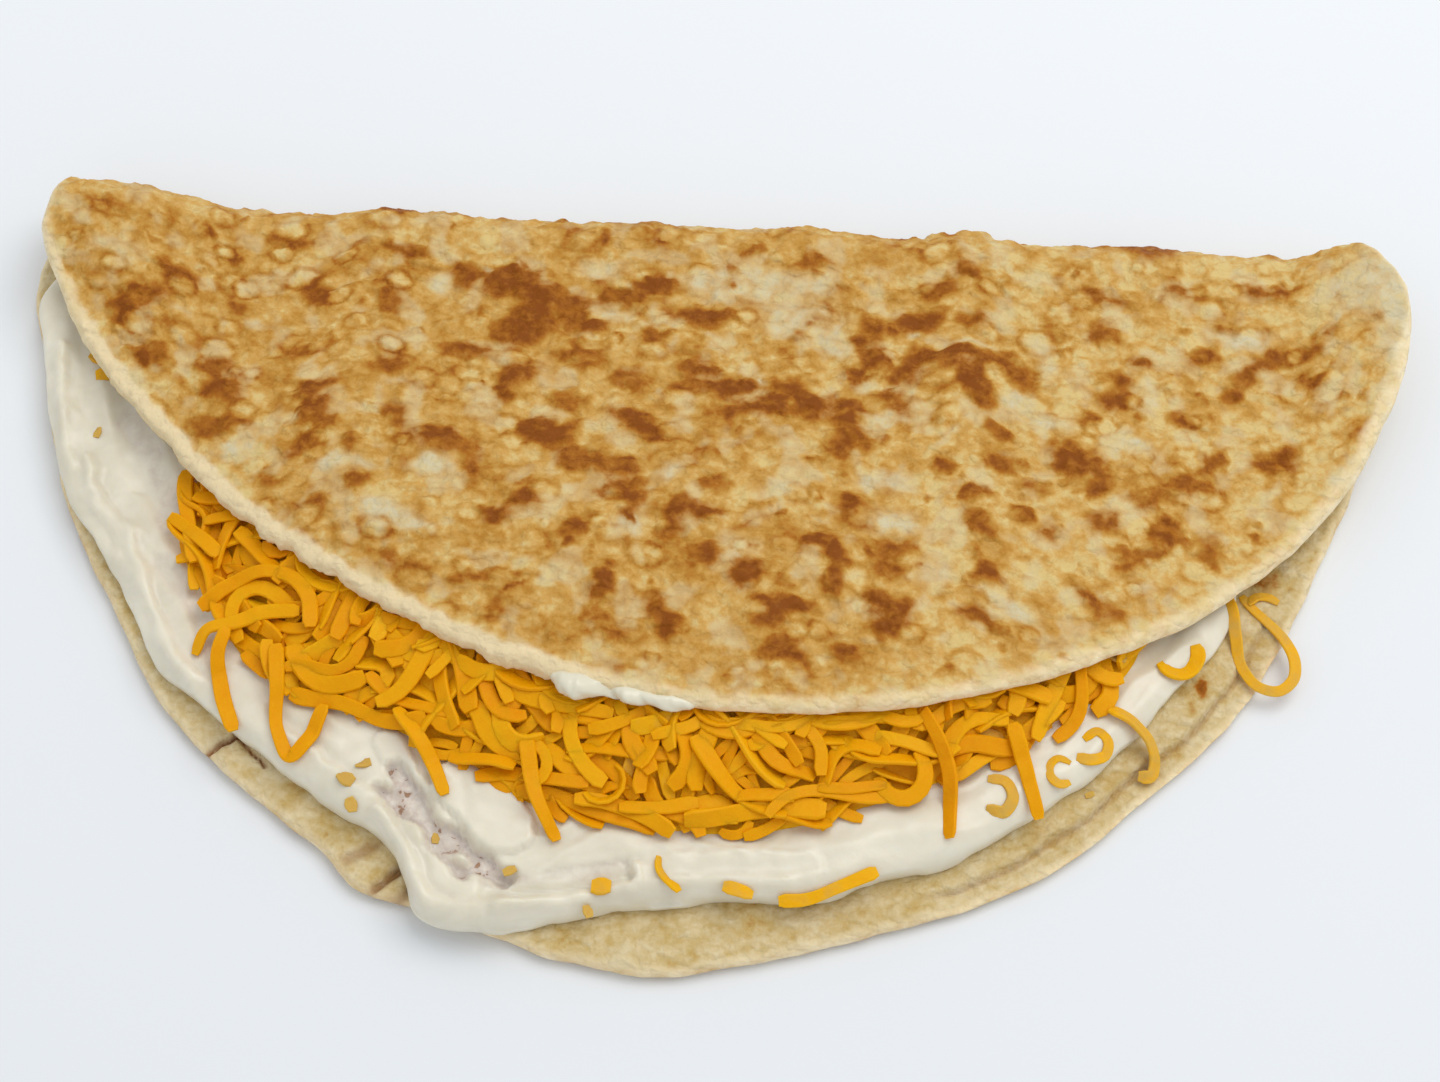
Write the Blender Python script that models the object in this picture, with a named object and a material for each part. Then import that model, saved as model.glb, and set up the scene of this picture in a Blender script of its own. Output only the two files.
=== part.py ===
"""A round griddled flatbread folded in half over cream cheese and grated cheddar.

The fold lies along X at the back (+Y), the open rim faces the front (-Y), and the bread rests on z = 0.
The bread is one sheet. It is laid out flat, as x and the way q along the sheet from the front rim of the
lower flap, round the fold, to the front rim of the upper flap, and is then folded over the filling.
"""

import math
import random

import bmesh
import bpy
import numpy as np
from mathutils import Vector
from mathutils.geometry import delaunay_2d_cdt

MM = 0.001
# How far apart two places are read to find a surface's slope.
PROBE = 0.2 * MM
# Points nearer than this are one, in metres; edges sharper than this angle stay sharp.
MERGED_WITHIN = 1e-7
SHARP_FROM = math.radians(50)

# Where the middle of the plan lies before the whole is moved over the origin.
PLAN_MIDDLE = (-0.7 * MM, 1.9 * MM)

# The bread: one disc of about 200 mm across, folded behind its middle.
BREAD_THICKNESS = 3.0 * MM
FOLD_Y = 51.2 * MM
FOLD_REACH = 5.0 * MM
FOLD_ARC = math.pi * FOLD_REACH
FOLD_RISE = 3.6 * MM
# The fold stands rounder and further back at its two ends.
END_RISE = 1.9 * MM
END_SET_BACK = 2.6 * MM
END_NARROWED_OVER = 10 * MM
# For the left and the right end: how much narrower the sheet is there, and where the end begins.
END_NARROWING = (2.5 * MM, 8.6 * MM)
END_FROM, END_TO = (68 * MM, 82 * MM), (94 * MM, 97 * MM)
# How far in mm the fold wanders back along X in mm.
FOLD_WANDER = (
    (-100, 0.3), (-80, 0.4), (-66, 0), (-58, 0.4), (-52, 1.6), (-44, 1.1), (-30, 0.6), (-14, 0.9), (4, 0.9),
    (13, 1.2), (22, 0.5), (30, 0.7), (36, 1.4), (42, 0.5), (60, 0.1), (80, 0), (100, 0),
)
RIM_ROUND = 1.3 * MM
FLAT_CENTRE = (0.0, 61 * MM)
FLAT_RIM_POINTS = 116
# How far apart the points of the bread's two faces lie.
LOWER_SPACING = (10 * MM, 8.6 * MM)
FOLD_SPACING, FOLD_ROWS = 8 * MM, 9
UPPER_SPACING = (5.2 * MM, 4.4 * MM)
INNER_SPACING = 9 * MM
LATTICE_MARGIN, ROW_SHARE = 0.5, 0.87
LOWER_FROM, UPPER_TO = -50 * MM, 138 * MM
FOLD_MARGIN = 4 * MM

# Bearing in degrees and radius in mm of the lower flap's rim, seen from above.
LOWER_CENTRE = (0.0, 42 * MM)
LOWER_SPAN = (-186, 6)
LOWER_RIM = (
    (-188, 102.2), (-182, 101.8), (-175, 98.9), (-168, 97.7), (-162, 97.4), (-150, 95.8), (-138, 97),
    (-124, 96.4), (-121, 96.7), (-118, 98.2), (-115.5, 98.9), (-112.5, 98), (-110, 96.8), (-105, 97.7),
    (-97, 98.6), (-91, 98.8), (-86, 97.3), (-79, 95.7), (-70, 95), (-62, 95.3), (-55, 94.6), (-49, 93.5),
    (-42, 93.8), (-35, 93.8), (-28, 93.2), (-18, 93.5), (-10, 95.2), (6, 101.6),
)
# The same of the upper flap's rim, which lies further back.
UPPER_CENTRE = (0.0, 75 * MM)
UPPER_SPAN = (-166, -14)
RIM_STEPS = 160
UPPER_RIM = (
    (-166, 103.2), (-160, 101.8), (-151, 99.4), (-143, 97.2), (-132, 96.2), (-119, 95.5), (-107, 96.8),
    (-94, 98.4), (-77, 100.7), (-58, 103.2), (-45, 105.2), (-31, 106.7), (-22, 106), (-14, 104.5),
)
# Height in mm of the upper flap's rim along X in mm: it lies on cream on the left, on the heap in the
# middle and almost on the lower flap on the right, and joins the fold's loop at both ends.
UPPER_RIM_HEIGHT = (
    (-101, 12), (-96, 10.4), (-88, 9.7), (-78, 10.2), (-68, 11.4), (-56, 13), (-40, 14.8), (-20, 15.6),
    (0, 15.8), (22, 15.2), (42, 13.6), (56, 11.4), (68, 9), (78, 7.2), (88, 7), (96, 8.8), (101, 11.6),
)
UPPER_RISE_FROM, UPPER_RISE_TO = 0.04, 0.8
SHORTEST_FLAP = 14 * MM

# Blisters of the upper flap's outside: plan x, y, radius and height, in mm.
BLISTERS = (
    (36, 29, 10, 1.1), (-27, 41, 9, 0.7), (-55, 20, 7, 0.6), (-27, 27, 6, 0.6), (-38, 15, 6, 0.6),
    (10, 25, 8, 0.6), (-12, 20, 6, 0.5), (22, 37, 7, 0.6), (-2, 7, 6, 0.5), (-24, 5, 6, 0.5),
    (18, -3, 7, 0.7), (27, -9, 6, 0.6), (8, -10, 6, 0.6), (-12, -6, 5, 0.5), (52, 17, 6, 0.6),
    (76, 35, 8, 0.6), (66, 15, 7, 0.6), (60, 33, 6, 0.5), (-81, 40, 8, 0.5), (40, 7, 6, 0.5),
    (-46, 2, 7, 0.5), (-68, 22, 6, 0.5),
)

# The lower flap's top layer stops short of the rim on the right, which leaves a ledge.
LEDGE_WIDTH = 3.5 * MM
LEDGE_SLOPE = 0.9 * MM
LEDGE_DROP = 1.1 * MM
LEDGE_BEARINGS = (-72, -66, -33, -26)

# Between what touches in the food, and the wider one between two curved layers.
GAP = 0.3 * MM
LAYER_GAP = 0.5 * MM

# The cream cheese on the lower flap. Points in mm.
CREAM_THICKNESS = 4.4 * MM
CREAM_SHARE = 0.48
CREAM_EDGE_WALL, CREAM_WALL_SHARE = 1.3 * MM, 0.6
CREAM_EDGE_ROUND = 3.2 * MM
CREAM_INSETS = (0.7 * MM, 2.0 * MM)
CREAM_EDGE_POINTS = 96
CREAM_SPACING = 10 * MM
CREAM_FLOOR = BREAD_THICKNESS + GAP
CREAM_CENTRE = (-4 * MM, 10 * MM)
CREAM_OUTLINE = (
    (-99.5, 43), (-98, 33), (-95, 20), (-90.5, 9), (-84.5, 0), (-79.5, -7), (-75, -16), (-67, -23),
    (-57, -30.5), (-48, -36.5), (-40.5, -41), (-37, -46.5), (-34.5, -51), (-28, -53), (-18, -51.3),
    (-8, -48.8), (4, -47.2), (15, -47), (26, -43.5), (38, -39), (47, -32.5), (57, -24), (65, -14),
    (72.5, -4.5), (75, 6), (72, 28), (54, 43), (0, 47), (-60, 47), (-90, 50),
)

# The grated cheddar heaped on the cream. Points in mm.
HEAP_CENTRE = (-5 * MM, 0.0)
HEAP_OUTLINE = (
    (-74, 3), (-68, -8), (-61, -17), (-50, -23), (-38, -27), (-22, -35.5), (-4, -39), (14, -37.5),
    (31, -31), (43, -25), (53, -18), (61, -8), (63, 12), (48, 32), (0, 38), (-48, 37), (-70, 32), (-72, 15),
)
HEAP_INSETS = (3 * MM,)
HEAP_EDGE_POINTS = 66
HEAP_SPACING = 8 * MM
HEAP_SLOPE = 15 * MM
HEAP_EDGE_WALL, HEAP_WALL_SHARE = 0.7 * MM, 0.5
HEAP_LEAST = 0.4 * MM
CORE_DROP = 0.8 * MM
CORE_DROP_WITHIN = 7 * MM

# The shreds on the front of the heap, and those whose own place shows. Points in mm.
SHRED_SEED = 11
SHRED_COUNT = 58
SHRED_WIDTHS = (2.0 * MM, 2.9 * MM)
SHRED_LENGTHS = (11 * MM, 21 * MM)
SHRED_THICKNESS = 1.5 * MM
SHRED_SUNK = 0.6 * MM
SHRED_LIFT = 1.3 * MM
SHRED_CARRY = 2.4 * MM
SHRED_BEND = math.radians(70)
SHRED_SPREAD = math.radians(65)
SHRED_SEGMENTS = 5
SHRED_BAND = (3 * MM, 21 * MM)
SHRED_BEARINGS = (-3.02, -0.12)
HANGING_SPACING, LOOSE_SPACING = 3.2 * MM, 1.9 * MM
RIM_CLEARANCE = 3.2 * MM
HANGING_SHREDS = (
    ((-75, 5), (-71, 2), (-67, -1.5)),
    ((-69, -9), (-65, -6), (-61, -4.5), (-56.6, -5.2), (-53.6, -8.3), (-52.7, -13)),
    ((-69, -15.7), (-67.6, -12.7), (-63.6, -11.7), (-59.4, -10.3), (-54.6, -10.3)),
    ((-64.5, -12.8), (-65.4, -16.2), (-64.4, -21.4), (-62.2, -26.8)),
    ((-57.4, -15), (-56.7, -20), (-56, -27), (-53.7, -30.6), (-51.9, -28.4), (-49.9, -23.4)),
    ((-39.9, -24), (-34.8, -30.5), (-32.4, -35.5)),
    ((-22, -28), (-20, -36), (-17, -41)),
    ((30.4, -21), (34.4, -28.4), (35, -38)),
    ((43, -22), (45.4, -29), (47, -34)),
)
# Loose shreds that lie on the cream, each with its width.
LOOSE_SHREDS = (
    (1.6, ((40, -28.9), (42.4, -29.3), (43.4, -31.4), (42.2, -33.5), (39.8, -33.3))),
    (1.2, ((51.2, -25.7), (49.6, -25.1), (48.4, -26.3), (48.4, -27.9), (49.7, -28.9), (51.1, -28.4))),
    (1.5, ((53, -22), (54.8, -20.7), (56.3, -22.3), (56, -24), (54, -25), (52, -24.7))),
    (2.0, ((56.4, -17.6), (60, -19.2), (62.2, -21.2), (63, -23.4), (62.4, -25.3), (60.8, -25.3))),
    (2.0, ((68.5, -6.5), (68.9, -8), (68.3, -9.6), (66.5, -11), (64.8, -10.8), (63.5, -9.6))),
    (1.6, ((-3.3, -42.6), (-3.1, -44.3), (-0.4, -47.3))),
    (1.8, ((12.7, -47.4), (16.6, -46.8), (20.8, -45), (25.6, -42.7))),
    (2.6, ((-12, -47.1), (-9.4, -47.1))),
    (1.7, ((5.3, -46.2), (9.3, -47))),
    (1.6, (
        (71.8, 4), (73.8, 0.5), (74.5, -4), (75.6, -8.6), (77.6, -11), (80.3, -11.5), (82.4, -9.6),
        (82.7, -6.8), (81.4, -3.6), (79, -0.8), (77, 1.2), (75.6, 3),
    )),
    (1.4, ((76.4, 1.7), (77.8, 2.9), (79.2, 3), (80.8, 2.2))),
    (2.4, ((-90.8, 32.5), (-89, 31.8), (-86, 33))),
    (2.2, ((-89.5, 28.6), (-87.3, 29), (-84.5, 30))),
)
LOOSE_ROOM = 3.2 * MM
LOOSE_THICKNESS = 1.3 * MM
LOOSE_SUNK = 0.55 * MM

# A smear of cream along the front of the upper flap's rim: bearings in degrees.
SMEAR_BEARINGS = (-101.5, -89)
SMEAR_WIDTH = 2.0 * MM
SMEAR_HEIGHT = 1.9 * MM
SMEAR_RAISE = 0.4 * MM
SMEAR_STATIONS = 11
SMEAR_SIDES = 6
SMEAR_LUMPS = (1.0, 0.75, 1.1, 1.2, 0.8, 0.9, 0.65, 0.75, 0.55, 0.6, 0.4)


def smoothstep(low, high, value):
    """0 below low, 1 above high, and an even ramp between."""
    share = np.clip((value - low) / (high - low), 0.0, 1.0)
    return share * share * (3 - 2 * share)


def smooth_through(stations, where):
    """A smooth curve through (place, value) stations, read at where."""
    places, values = (np.array(column, float) for column in zip(*stations))
    slopes = np.gradient(values, places)
    where = np.clip(where, places[0], places[-1])
    left = np.clip(np.searchsorted(places, where, side="right") - 1, 0, len(places) - 2)
    span = places[left + 1] - places[left]
    t = (where - places[left]) / span
    return (
        (2 * t**3 - 3 * t**2 + 1) * values[left]
        + (t**3 - 2 * t**2 + t) * span * slopes[left]
        + (3 * t**2 - 2 * t**3) * values[left + 1]
        + (t**3 - t**2) * span * slopes[left + 1]
    )


def closed_curve(points, steps=8):
    """A closed Catmull-Rom curve through points."""
    points = np.array(points, float)
    before, after, second = (np.roll(points, shift, axis=0) for shift in (1, -1, -2))
    curve = []
    for t in np.arange(steps) / steps:
        curve.append(
            0.5
            * (
                2 * points
                + (after - before) * t
                + (2 * before - 5 * points + 4 * after - second) * t**2
                + (3 * points - before - 3 * after + second) * t**3
            )
        )
    return np.stack(curve, axis=1).reshape(-1, 2)


def along_loop(loop, count):
    """count points spaced evenly round a closed loop."""
    closed = np.vstack([loop, loop[:1]])
    run = np.concatenate([[0], np.cumsum(np.linalg.norm(np.diff(closed, axis=0), axis=1))])
    stations = np.linspace(0, run[-1], count, endpoint=False)
    return np.stack([np.interp(stations, run, closed[:, k]) for k in (0, 1)], axis=1)


def drawn_in(loop, centre, inset):
    """The loop moved towards its centre by inset."""
    arms = loop - np.array(centre)
    length = np.linalg.norm(arms, axis=1, keepdims=True)
    return np.array(centre) + arms * (1 - inset / length)


def depth_inside(x, y, loop, centre):
    """How far plan points lie inside the loop, measured along the line from its centre."""
    arms = loop - np.array(centre)
    bearings = np.arctan2(arms[:, 1], arms[:, 0])
    order = np.argsort(bearings)
    reach = np.linalg.norm(arms, axis=1)[order]
    away_x, away_y = x - centre[0], y - centre[1]
    own_reach = np.interp(np.arctan2(away_y, away_x), bearings[order], reach, period=2 * math.pi)
    return own_reach - np.hypot(away_x, away_y)


def rim_points(centre, rim, bearings):
    """Plan points of a flap's rim at these bearings, in degrees."""
    radius = smooth_through(rim, bearings) * MM
    turn = np.radians(bearings)
    return np.stack([centre[0] + radius * np.cos(turn), centre[1] + radius * np.sin(turn)], axis=1)


def inside_rim(centre, rim, x, y):
    """How far plan points lie inside a flap's rim, and their bearings in degrees."""
    away_x, away_y = x - centre[0], y - centre[1]
    bearing = np.degrees(np.arctan2(away_y, away_x))
    bearing = np.where(bearing > 90, bearing - 360, bearing)
    return smooth_through(rim, bearing) * MM - np.hypot(away_x, away_y), bearing


def end_share(x):
    """0 along the middle of the fold and 1 at its two ends."""
    left, right = (smoothstep(near, far, np.abs(x)) for near, far in zip(END_FROM, END_TO))
    return np.where(x < 0, left, right)


def fold_axis(x):
    """Where along Y the lower flap turns into the fold."""
    return FOLD_Y + smooth_through(FOLD_WANDER, x / MM) * MM + END_SET_BACK * end_share(x)


def fold_rise(x):
    """Half the height between the two flaps at the fold."""
    return FOLD_RISE + END_RISE * end_share(x)


UPPER_EDGE = rim_points(UPPER_CENTRE, UPPER_RIM, np.linspace(*UPPER_SPAN, RIM_STEPS))


def upper_flap_height(x, y):
    """Height of the upper flap's middle surface; in front of its rim, that of the rim."""
    at_fold = BREAD_THICKNESS / 2 + 2 * fold_rise(x)
    at_rim = smooth_through(UPPER_RIM_HEIGHT, x / MM) * MM
    rim_y = np.interp(x, UPPER_EDGE[:, 0], UPPER_EDGE[:, 1])
    flap = np.maximum(fold_axis(x) - rim_y, SHORTEST_FLAP)
    share = smoothstep(UPPER_RISE_FROM, UPPER_RISE_TO, (fold_axis(x) - y) / flap)
    return at_fold + (at_rim - at_fold) * share


def roof(x, y):
    """Height of the upper flap's underside."""
    return upper_flap_height(x, y) - BREAD_THICKNESS / 2


def sheet_middle(x, q):
    """The bread's middle surface: where the flat dough's point (x, q) lies once folded."""
    axis, rise = fold_axis(x), fold_rise(x)
    turn = np.clip((q - axis) / FOLD_ARC, 0, 1) * math.pi
    upper_y = axis - (q - axis - FOLD_ARC)
    on_lower, on_upper = q <= axis, q >= axis + FOLD_ARC
    y = np.where(on_lower, q, np.where(on_upper, upper_y, axis + FOLD_REACH * np.sin(turn)))
    loop_z = BREAD_THICKNESS / 2 + rise * (1 - np.cos(turn))
    z = np.where(on_upper, upper_flap_height(x, y), loop_z)
    return np.stack([x, y, z], axis=1)


def sheet_inward(x, q):
    """Unit normals of the middle surface, towards the filling."""
    across = sheet_middle(x + PROBE, q) - sheet_middle(x - PROBE, q)
    along = sheet_middle(x, q + PROBE) - sheet_middle(x, q - PROBE)
    normal = np.cross(across, along)
    return normal / np.linalg.norm(normal, axis=1, keepdims=True)


def flat_dough_outline():
    """The rim of the whole sheet before folding, as points (x, q)."""
    lower = rim_points(LOWER_CENTRE, LOWER_RIM, np.linspace(*LOWER_SPAN, RIM_STEPS))
    upper = UPPER_EDGE[::-1]
    axis = fold_axis(upper[:, 0])
    upper_flat = np.stack([upper[:, 0], axis + FOLD_ARC + (axis - upper[:, 1])], axis=1)
    outline = along_loop(np.vstack([lower, upper_flat]), FLAT_RIM_POINTS)
    from_crest = outline[:, 1] - fold_axis(outline[:, 0]) - FOLD_ARC / 2
    near_crest = np.exp(-((from_crest / END_NARROWED_OVER) ** 2))
    outline[:, 0] -= np.sign(outline[:, 0]) * np.where(outline[:, 0] < 0, *END_NARROWING) * near_crest
    return outline


def ledge_drop(points):
    """How much lower the top of the lower flap's rim lies, where only its bottom layer is left."""
    inside, bearing = inside_rim(LOWER_CENTRE, LOWER_RIM, points[:, 0], points[:, 1])
    starts, full, fades, ends = LEDGE_BEARINGS
    along = smoothstep(starts, full, bearing) * (1 - smoothstep(fades, ends, bearing))
    across = 1 - smoothstep(LEDGE_WIDTH - LEDGE_SLOPE / 2, LEDGE_WIDTH + LEDGE_SLOPE / 2, inside)
    return LEDGE_DROP * along * across


def blister_lift(points):
    """How much the toasted blisters lift the upper flap's outside."""
    lift = np.zeros(len(points))
    for x, y, radius, height in BLISTERS:
        away = np.hypot(points[:, 0] / MM - x, points[:, 1] / MM - y) / radius
        lift += height * MM * np.clip(1 - away**2, 0, None) ** 2
    return lift


def triangulated(rings, lattice):
    """Triangles that fill the first ring, through the other rings and the lattice."""
    points = np.vstack([*rings, lattice])
    edges, start = [], 0
    for ring in rings:
        count = len(ring)
        edges += [(start + i, start + (i + 1) % count) for i in range(count)]
        start += count
    made = delaunay_2d_cdt([Vector(p) for p in points], edges, [], 1, MERGED_WITHIN)
    return np.array([tuple(v) for v in made[0]]), [tuple(f) for f in made[2]]


def lattice_in(loop, centre, rows, spacing, stagger=0.5):
    """Points on these rows, every other row shifted by stagger, kept off the loop itself."""
    reach = np.abs(loop).max() + spacing
    across = np.arange(-reach, reach, spacing)
    found = [
        np.stack([across + (number % 2) * stagger * spacing, np.full_like(across, row)], axis=1)
        for number, row in enumerate(rows)
    ]
    found = np.vstack(found)
    return found[depth_inside(found[:, 0], found[:, 1], loop, centre) > LATTICE_MARGIN * spacing]


def material(name, colour, roughness):
    made = bpy.data.materials.new(name)
    made.use_nodes = True
    shader = made.node_tree.nodes["Principled BSDF"]
    shader.inputs["Base Color"].default_value = (*colour, 1.0)
    shader.inputs["Roughness"].default_value = roughness
    shader.inputs["Metallic"].default_value = 0.0
    return made


def mesh_object(name, points, faces, finish):
    """An object with this mesh, its faces turned outwards, smooth but for its sharp edges."""
    points = points - (*PLAN_MIDDLE, 0.0)
    mesh = bpy.data.meshes.new(name)
    mesh.from_pydata([tuple(p) for p in points], [], faces)
    mesh.materials.append(finish)
    shape = bmesh.new()
    shape.from_mesh(mesh)
    bmesh.ops.recalc_face_normals(shape, faces=shape.faces)
    shape.to_mesh(mesh)
    shape.free()
    mesh.shade_smooth()
    mesh.set_sharp_from_angle(angle=SHARP_FROM)
    made = bpy.data.objects.new(name, mesh)
    bpy.context.scene.collection.objects.link(made)
    return made


def ring_faces(first, second, count):
    """Quads between two rings of count points that start at these vertex numbers."""
    return [
        (first + i, first + (i + 1) % count, second + (i + 1) % count, second + i)
        for i in range(count)
    ]


def bread(finish):
    """The folded sheet, with a rounded rim all round and the ledge of its split layer."""
    outline = flat_dough_outline()
    face_edge = drawn_in(outline, FLAT_CENTRE, RIM_ROUND)
    fold_end = FOLD_Y + FOLD_ARC + FOLD_MARGIN
    fold_rows = np.linspace(FOLD_Y - FOLD_MARGIN / 4, fold_end, FOLD_ROWS)
    lower_rows = np.arange(LOWER_FROM, FOLD_Y - FOLD_MARGIN, LOWER_SPACING[1])
    upper_rows = np.arange(fold_end + UPPER_SPACING[1], UPPER_TO, UPPER_SPACING[1])

    outer_lattice = np.vstack([
        lattice_in(face_edge, FLAT_CENTRE, lower_rows, LOWER_SPACING[0]),
        lattice_in(face_edge, FLAT_CENTRE, fold_rows, FOLD_SPACING, 0),
        lattice_in(face_edge, FLAT_CENTRE, upper_rows, UPPER_SPACING[0]),
    ])
    ledge_rings = [
        drawn_in(outline, FLAT_CENTRE, LEDGE_WIDTH + side * LEDGE_SLOPE / 2) for side in (-1, 1)
    ]
    inner_lattice = np.vstack([
        lattice_in(ledge_rings[1], FLAT_CENTRE, lower_rows, INNER_SPACING),
        lattice_in(ledge_rings[1], FLAT_CENTRE, fold_rows, FOLD_SPACING, 0),
        lattice_in(ledge_rings[1], FLAT_CENTRE, upper_rows[::2], INNER_SPACING),
    ])
    outer_flat, outer_faces = triangulated([face_edge], outer_lattice)
    inner_flat, inner_faces = triangulated([face_edge, *ledge_rings], inner_lattice)

    half = BREAD_THICKNESS / 2
    outer = sheet_middle(*outer_flat.T)
    on_upper = outer_flat[:, 1] > fold_axis(outer_flat[:, 0]) + FOLD_ARC
    lift = np.where(on_upper, blister_lift(outer), 0)
    outer -= sheet_inward(*outer_flat.T) * (half + lift)[:, None]
    inner = sheet_middle(*inner_flat.T)
    on_lower = inner_flat[:, 1] < fold_axis(inner_flat[:, 0])
    drop = np.where(on_lower, ledge_drop(inner), 0)
    inner += sheet_inward(*inner_flat.T) * (half - drop)[:, None]
    rim = sheet_middle(*outline.T)

    points = np.vstack([outer, inner, rim])
    rim_start = len(outer) + len(inner)
    faces = [tuple(reversed(f)) for f in outer_faces]
    faces += [tuple(len(outer) + i for i in f) for f in inner_faces]
    faces += ring_faces(0, rim_start, FLAT_RIM_POINTS)
    faces += ring_faces(rim_start, len(outer), FLAT_RIM_POINTS)
    return mesh_object("bread", points, faces, finish)


CREAM_LOOP = along_loop(closed_curve(CREAM_OUTLINE) * MM, CREAM_EDGE_POINTS)
HEAP_LOOP = along_loop(closed_curve(HEAP_OUTLINE) * MM, HEAP_EDGE_POINTS)


def cream_floor(x, y):
    return np.full_like(x, CREAM_FLOOR)


def cream_top(x, y, beyond=0.0):
    """Height of the cream: full in front of the flap, thinner where the flap comes down on it.

    A stiff shred carries on over the rounded edge: beyond is how far it does.
    """
    full = np.clip((roof(x, y) - CREAM_FLOOR) * CREAM_SHARE, 0, CREAM_THICKNESS)
    wall = np.minimum(CREAM_EDGE_WALL, CREAM_WALL_SHARE * full)
    depth = depth_inside(x, y, CREAM_LOOP, CREAM_CENTRE) + beyond
    share = np.clip(depth / CREAM_EDGE_ROUND, 0, 1)
    return CREAM_FLOOR + wall + (full - wall) * np.sqrt(1 - (1 - share) ** 2)


def heap_floor(x, y):
    return cream_top(x, y) + LAYER_GAP


def heap_top(x, y):
    """Height of the heap's core: up to the upper flap, and sloping down in front of it."""
    space = roof(x, y) - LAYER_GAP - heap_floor(x, y)
    wall = np.clip(HEAP_WALL_SHARE * space, HEAP_LEAST, HEAP_EDGE_WALL)
    depth = np.maximum(depth_inside(x, y, HEAP_LOOP, HEAP_CENTRE), 0)
    share = np.sin(0.5 * math.pi * np.clip(depth / HEAP_SLOPE, 0, 1))
    in_front = -inside_rim(UPPER_CENTRE, UPPER_RIM, x, y)[0]
    drop = CORE_DROP * smoothstep(0, CORE_DROP_WITHIN, in_front)
    height = np.maximum(wall + (space - wall) * share - drop * share, wall)
    return heap_floor(x, y) + height


def layer(name, loop, centre, insets, spacing, floor, top, finish):
    """A closed solid between a floor and a top, both given over its plan."""
    rings = [loop, *(drawn_in(loop, centre, inset) for inset in insets)]
    rows = np.arange(loop[:, 1].min(), loop[:, 1].max(), ROW_SHARE * spacing)
    lattice = lattice_in(rings[-1], centre, rows, spacing)
    plan, plan_faces = triangulated(rings, lattice)
    x, y = plan.T
    lower = np.stack([x, y, floor(x, y)], axis=1)
    upper = np.stack([x, y, top(x, y)], axis=1)
    faces = [tuple(reversed(f)) for f in plan_faces]
    faces += [tuple(len(plan) + i for i in f) for f in plan_faces]
    faces += ring_faces(0, len(plan), len(loop))
    return mesh_object(name, np.vstack([lower, upper]), faces, finish)


def strip(name, path, width, thickness, finish):
    """A shred: a flat strip along a path of points, with square ends."""
    ahead = np.gradient(path, axis=0)
    sideways = np.stack([-ahead[:, 1], ahead[:, 0]], axis=1)
    sideways /= np.linalg.norm(sideways, axis=1, keepdims=True)
    side = np.column_stack([sideways, np.zeros(len(path))]) * width / 2
    up = np.array((0, 0, thickness / 2))
    corners = np.stack([path - side - up, path + side - up, path + side + up, path - side + up], axis=1)
    count = len(path)
    faces = [(3, 2, 1, 0), tuple(4 * (count - 1) + k for k in range(4))]
    for ring in range(count - 1):
        faces += ring_faces(4 * ring, 4 * (ring + 1), 4)
    return mesh_object(name, corners.reshape(-1, 3), faces, finish)


def open_curve(points, spacing):
    """An open smooth curve through plan points in mm, with a point about every spacing."""
    points = np.array(points, float) * MM
    run = np.concatenate([[0], np.cumsum(np.linalg.norm(np.diff(points, axis=0), axis=1))])
    stations = np.linspace(0, run[-1], max(3, round(run[-1] / spacing) + 1))
    if len(points) < 3:
        return np.stack([np.interp(stations, run, points[:, k]) for k in (0, 1)], axis=1)
    return np.stack([smooth_through(list(zip(run, points[:, k])), stations) for k in (0, 1)], axis=1)


def below_flap(x, y, height, spare):
    """The height, kept spare below the upper flap where that is overhead or just behind."""
    near = inside_rim(UPPER_CENTRE, UPPER_RIM, x, y)[0] > -RIM_CLEARANCE
    return np.where(near, np.minimum(height, roof(x, y) - spare), height)


def on_heap(plan, lift):
    """Middle line of a shred that lies on the heap, or beyond its edge on the cream."""
    x, y = plan.T
    on_core = depth_inside(x, y, HEAP_LOOP, HEAP_CENTRE) > 0
    bed = np.where(on_core, heap_top(x, y) - SHRED_SUNK, cream_top(x, y, SHRED_CARRY) + LAYER_GAP)
    top = below_flap(x, y, bed + lift * on_core + SHRED_THICKNESS, 2 * LAYER_GAP + lift / 4)
    return np.stack([x, y, top - SHRED_THICKNESS / 2], axis=1)


def scattered_paths(rng):
    """Plans of shreds strewn over the front of the heap, mostly pointing to the front."""
    loose = np.vstack([open_curve(points, LOOSE_SPACING) for _, points in LOOSE_SHREDS])
    for _ in range(SHRED_COUNT):
        bearing = rng.uniform(*SHRED_BEARINGS)
        from_edge = rng.uniform(*SHRED_BAND)
        away = np.interp(bearing, *heap_reach()) - from_edge
        middle = np.array(HEAP_CENTRE) + away * np.array((math.cos(bearing), math.sin(bearing)))
        step = rng.uniform(*SHRED_LENGTHS) / SHRED_SEGMENTS
        bend = rng.uniform(-SHRED_BEND, SHRED_BEND)
        astray = rng.uniform(-SHRED_SPREAD, SHRED_SPREAD) * (1 + from_edge / SHRED_BAND[1])
        headings = astray - math.pi / 2 + bend * np.linspace(-0.5, 0.5, SHRED_SEGMENTS)
        steps = step * np.stack([np.cos(headings), np.sin(headings)], axis=1)
        path = np.vstack([(0, 0), np.cumsum(steps, axis=0)])
        path += middle - path.mean(axis=0)
        passed = np.vstack([path, (path[1:] + path[:-1]) / 2])
        if np.linalg.norm(passed[:, None] - loose[None], axis=2).min() > LOOSE_ROOM:
            yield path


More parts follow.
